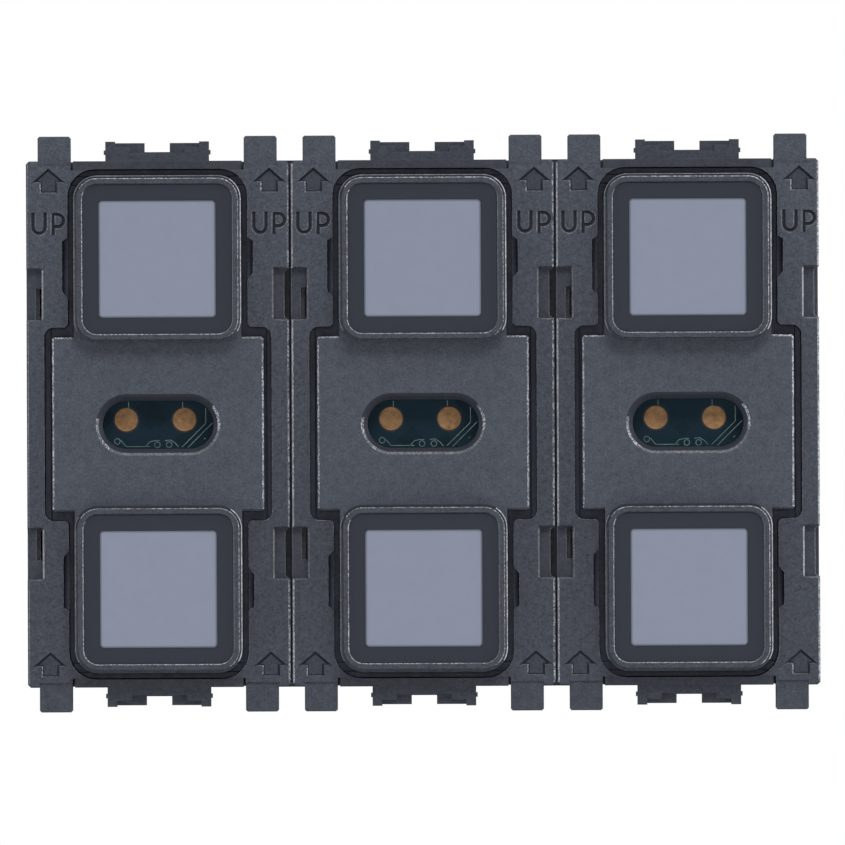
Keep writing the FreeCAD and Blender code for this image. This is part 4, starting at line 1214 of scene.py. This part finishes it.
def make_housing():
    """Tub with softened back edges, marks of the moulding tool, a sunk field and raised signs."""
    node = "rear_housing"
    back_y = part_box(node)[1].y
    bm = merged_copy(node)
    rim = []
    for edge in bm.edges:
        point = (edge.verts[0].co + edge.verts[1].co) / 2
        is_back = min(vert.co.y for vert in edge.verts) > back_y - TOUCH
        is_outside = abs(point.x) > HOUSING_OUTSIDE_X or abs(point.z) > HOUSING_OUTSIDE_Z
        if is_back and is_outside and is_corner(edge):
            rim.append(edge)
    bevel(bm, rim, HOUSING_EDGE, 4, clamp=False)
    soften(bm, FRAME_EDGE, 2)
    half = EJECTOR_RADIUS
    slope = (FIELD_DEPTH, -FIELD_DEPTH)
    cutters = [pocket_cutter(0.0, FIELD_Z, FIELD_HALF_X, FIELD_HALF_Z, FIELD_RADIUS, back_y, slope)]
    slope = (EJECTOR_DEPTH, -EJECTOR_DEPTH)
    for side_x, side_z in CORNERS:
        x = side_x * EJECTOR_X
        cutters.append(pocket_cutter(x, side_z * EJECTOR_Z, half, half, half, back_y, slope))
    bm = tidied(cut_with(bm, cutters))
    sign_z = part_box("positive_terminal")[1].z + SIGN_ABOVE
    long = SIGN_LENGTH / 2
    thin = SIGN_WIDTH / 2
    plus_x = middle("positive_terminal").x
    minus_x = middle("negative_terminal").x
    join_in(bm, [
        raised_bar(plus_x, sign_z, long, thin, back_y),
        raised_bar(plus_x, sign_z + (long + thin) / 2, thin, (long - thin) / 2, back_y),
        raised_bar(plus_x, sign_z - (long + thin) / 2, thin, (long - thin) / 2, back_y),
        raised_bar(minus_x, sign_z, long, thin, back_y),
        turned_solid((0.0, back_y, GATE_Z), GATE_RADIUS, GATE_RADIUS * GATE_TAPER, 2 * GATE_HEIGHT, 40),
    ])
    # Lighter plastic on the signs' tops: a painted highlight
    for face in bm.faces:
        if face.calc_center_median().y > back_y + SIGN_HEIGHT - TOUCH:
            face.material_index = HIGHLIGHT
    materials = [HOUSING_MATERIAL, PLATE_MATERIAL]
    add_piece("housing_shell", bm, materials, "panel", [node], True)


def make_terminal(node, name, material):
    """Half of the plug-on terminal, with funnels at its wire entries."""
    back_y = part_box(node)[1].y
    centre_x = middle(node).x
    bm = merged_copy(node)
    soften(bm, TERMINAL_EDGE, 3)
    widening = FUNNEL_RADIUS - ENTRY_RADIUS
    cutters = []
    for side in (-1, 1):
        place = (centre_x + side * ENTRY_PITCH / 2, back_y, ENTRY_Z)
        cutters.append(turned_solid(place, ENTRY_RADIUS, FUNNEL_RADIUS + widening, 2 * FUNNEL_DEPTH, 40))
    add_piece(name, tidied(cut_with(bm, cutters)), [material], "panel", [node], True)


def dress(node, material):
    """Give a CAD node that keeps its shape a detailed material."""
    for material_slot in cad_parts[node].material_slots:
        material_slot.material = material


for module in ("left", "middle", "right"):
    make_front_frame(module)
    make_carriage(module)
    for side in ("upper", "lower"):
        make_turret_fill(module, side)
    make_board_marks(module)
    make_springs(module)
    for node, material in (
        ("_sensor_board", BOARD_MATERIAL),
        ("_contact_pads", PAD_MATERIAL),
        ("_touch_electrodes", COPPER_MATERIAL),
        ("_window_leds", LED_MATERIAL),
        ("_touch_chip", CHIP_MATERIAL),
        ("_ribbon_socket", SOCKET_MATERIAL),
    ):
        dress(module + node, material)
make_plate()
make_housing()
make_terminal("positive_terminal", "red_terminal", RED_MATERIAL)
make_terminal("negative_terminal", "black_terminal", BLACK_MATERIAL)
for node, material in (
    ("main_board", BOARD_MATERIAL),
    ("board_sockets", SOCKET_MATERIAL),
    ("controller_chip", CHIP_MATERIAL),
    ("bus_chip", CHIP_MATERIAL),
    ("buffer_capacitor", CAN_MATERIAL),
    ("bus_choke", FERRITE_MATERIAL),
    ("bus_pins", PIN_MATERIAL),
):
    dress(node, material)


# Stage
def make_floor():
    """Pale disc under the panel that fades out towards its rim."""
    bm = bmesh.new()
    place = Matrix.Translation((0.0, 0.0, cad_box[0][2] - FLOOR_DROP))
    bmesh.ops.create_circle(bm, cap_ends=True, radius=FLOOR_RADIUS, segments=96, matrix=place)
    floor = new_object("floor", bm)
    material, tree, shader, place = start_material("floor_white")
    fade = add_range(tree, add_length(tree, place), FLOOR_FADE_START, FLOOR_FADE_END, 1.0, 0.0)
    white = (0.9, 0.9, 0.9, 1.0)
    set_inputs(tree, shader, Base_Color=white, Roughness=0.8, Specular_IOR_Level=0.1, Alpha=fade)
    floor.data.materials.append(material)


def make_world():
    """White wherever the camera looks past the panel, and a softer level as light."""
    world = bpy.data.worlds.new("studio")
    bpy.context.scene.world = world
    world.use_nodes = True
    tree = world.node_tree
    rays = tree.nodes.new("ShaderNodeLightPath")
    seen = add_math(tree, "MAXIMUM", rays.outputs["Is Camera Ray"], rays.outputs["Is Transmission Ray"])
    seen = add_math(tree, "MAXIMUM", seen, rays.outputs["Is Glossy Ray"])
    strength = add_range(tree, seen, 0.0, 1.0, WORLD_LIGHT, 1.0)
    set_inputs(tree, tree.nodes["Background"], Color=(1.0, 1.0, 1.0, 1.0), Strength=strength)


def add_softbox(name, place, width, height, power):
    light = bpy.data.lights.new(name, "AREA")
    light.shape = "RECTANGLE"
    light.size = width
    light.size_y = height
    light.energy = power
    lamp = bpy.data.objects.new(name, light)
    lamp.location = place
    lamp.rotation_euler = (-Vector(place)).to_track_quat("-Z", "Y").to_euler()
    bpy.context.scene.collection.objects.link(lamp)


def make_camera():
    """Long lens straight in front, framed as the picture is."""
    picture_width = PICTURE_PIXELS / PIXELS_PER_MM * MM
    face_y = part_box("middle_front_frame")[0].y
    camera = bpy.data.cameras.new("camera")
    camera.sensor_width = SENSOR_WIDTH
    camera.lens = SENSOR_WIDTH * CAMERA_DISTANCE / picture_width
    camera.clip_start = 0.05
    camera.clip_end = 20.0
    holder = bpy.data.objects.new("camera", camera)
    half = PICTURE_PIXELS / 2
    x = (half - PANEL_MIDDLE_X_PIXEL) / PIXELS_PER_MM * MM
    z = (PANEL_MIDDLE_Y_PIXEL - half) / PIXELS_PER_MM * MM
    holder.location = (x, face_y - CAMERA_DISTANCE, z)
    holder.rotation_euler = (math.radians(90), CAMERA_ROLL, 0.0)
    bpy.context.scene.collection.objects.link(holder)
    bpy.context.scene.camera = holder


make_floor()
make_world()
for softbox in SOFTBOXES:
    add_softbox(*softbox)
make_camera()

bpy.context.scene.view_settings.view_transform = "Standard"
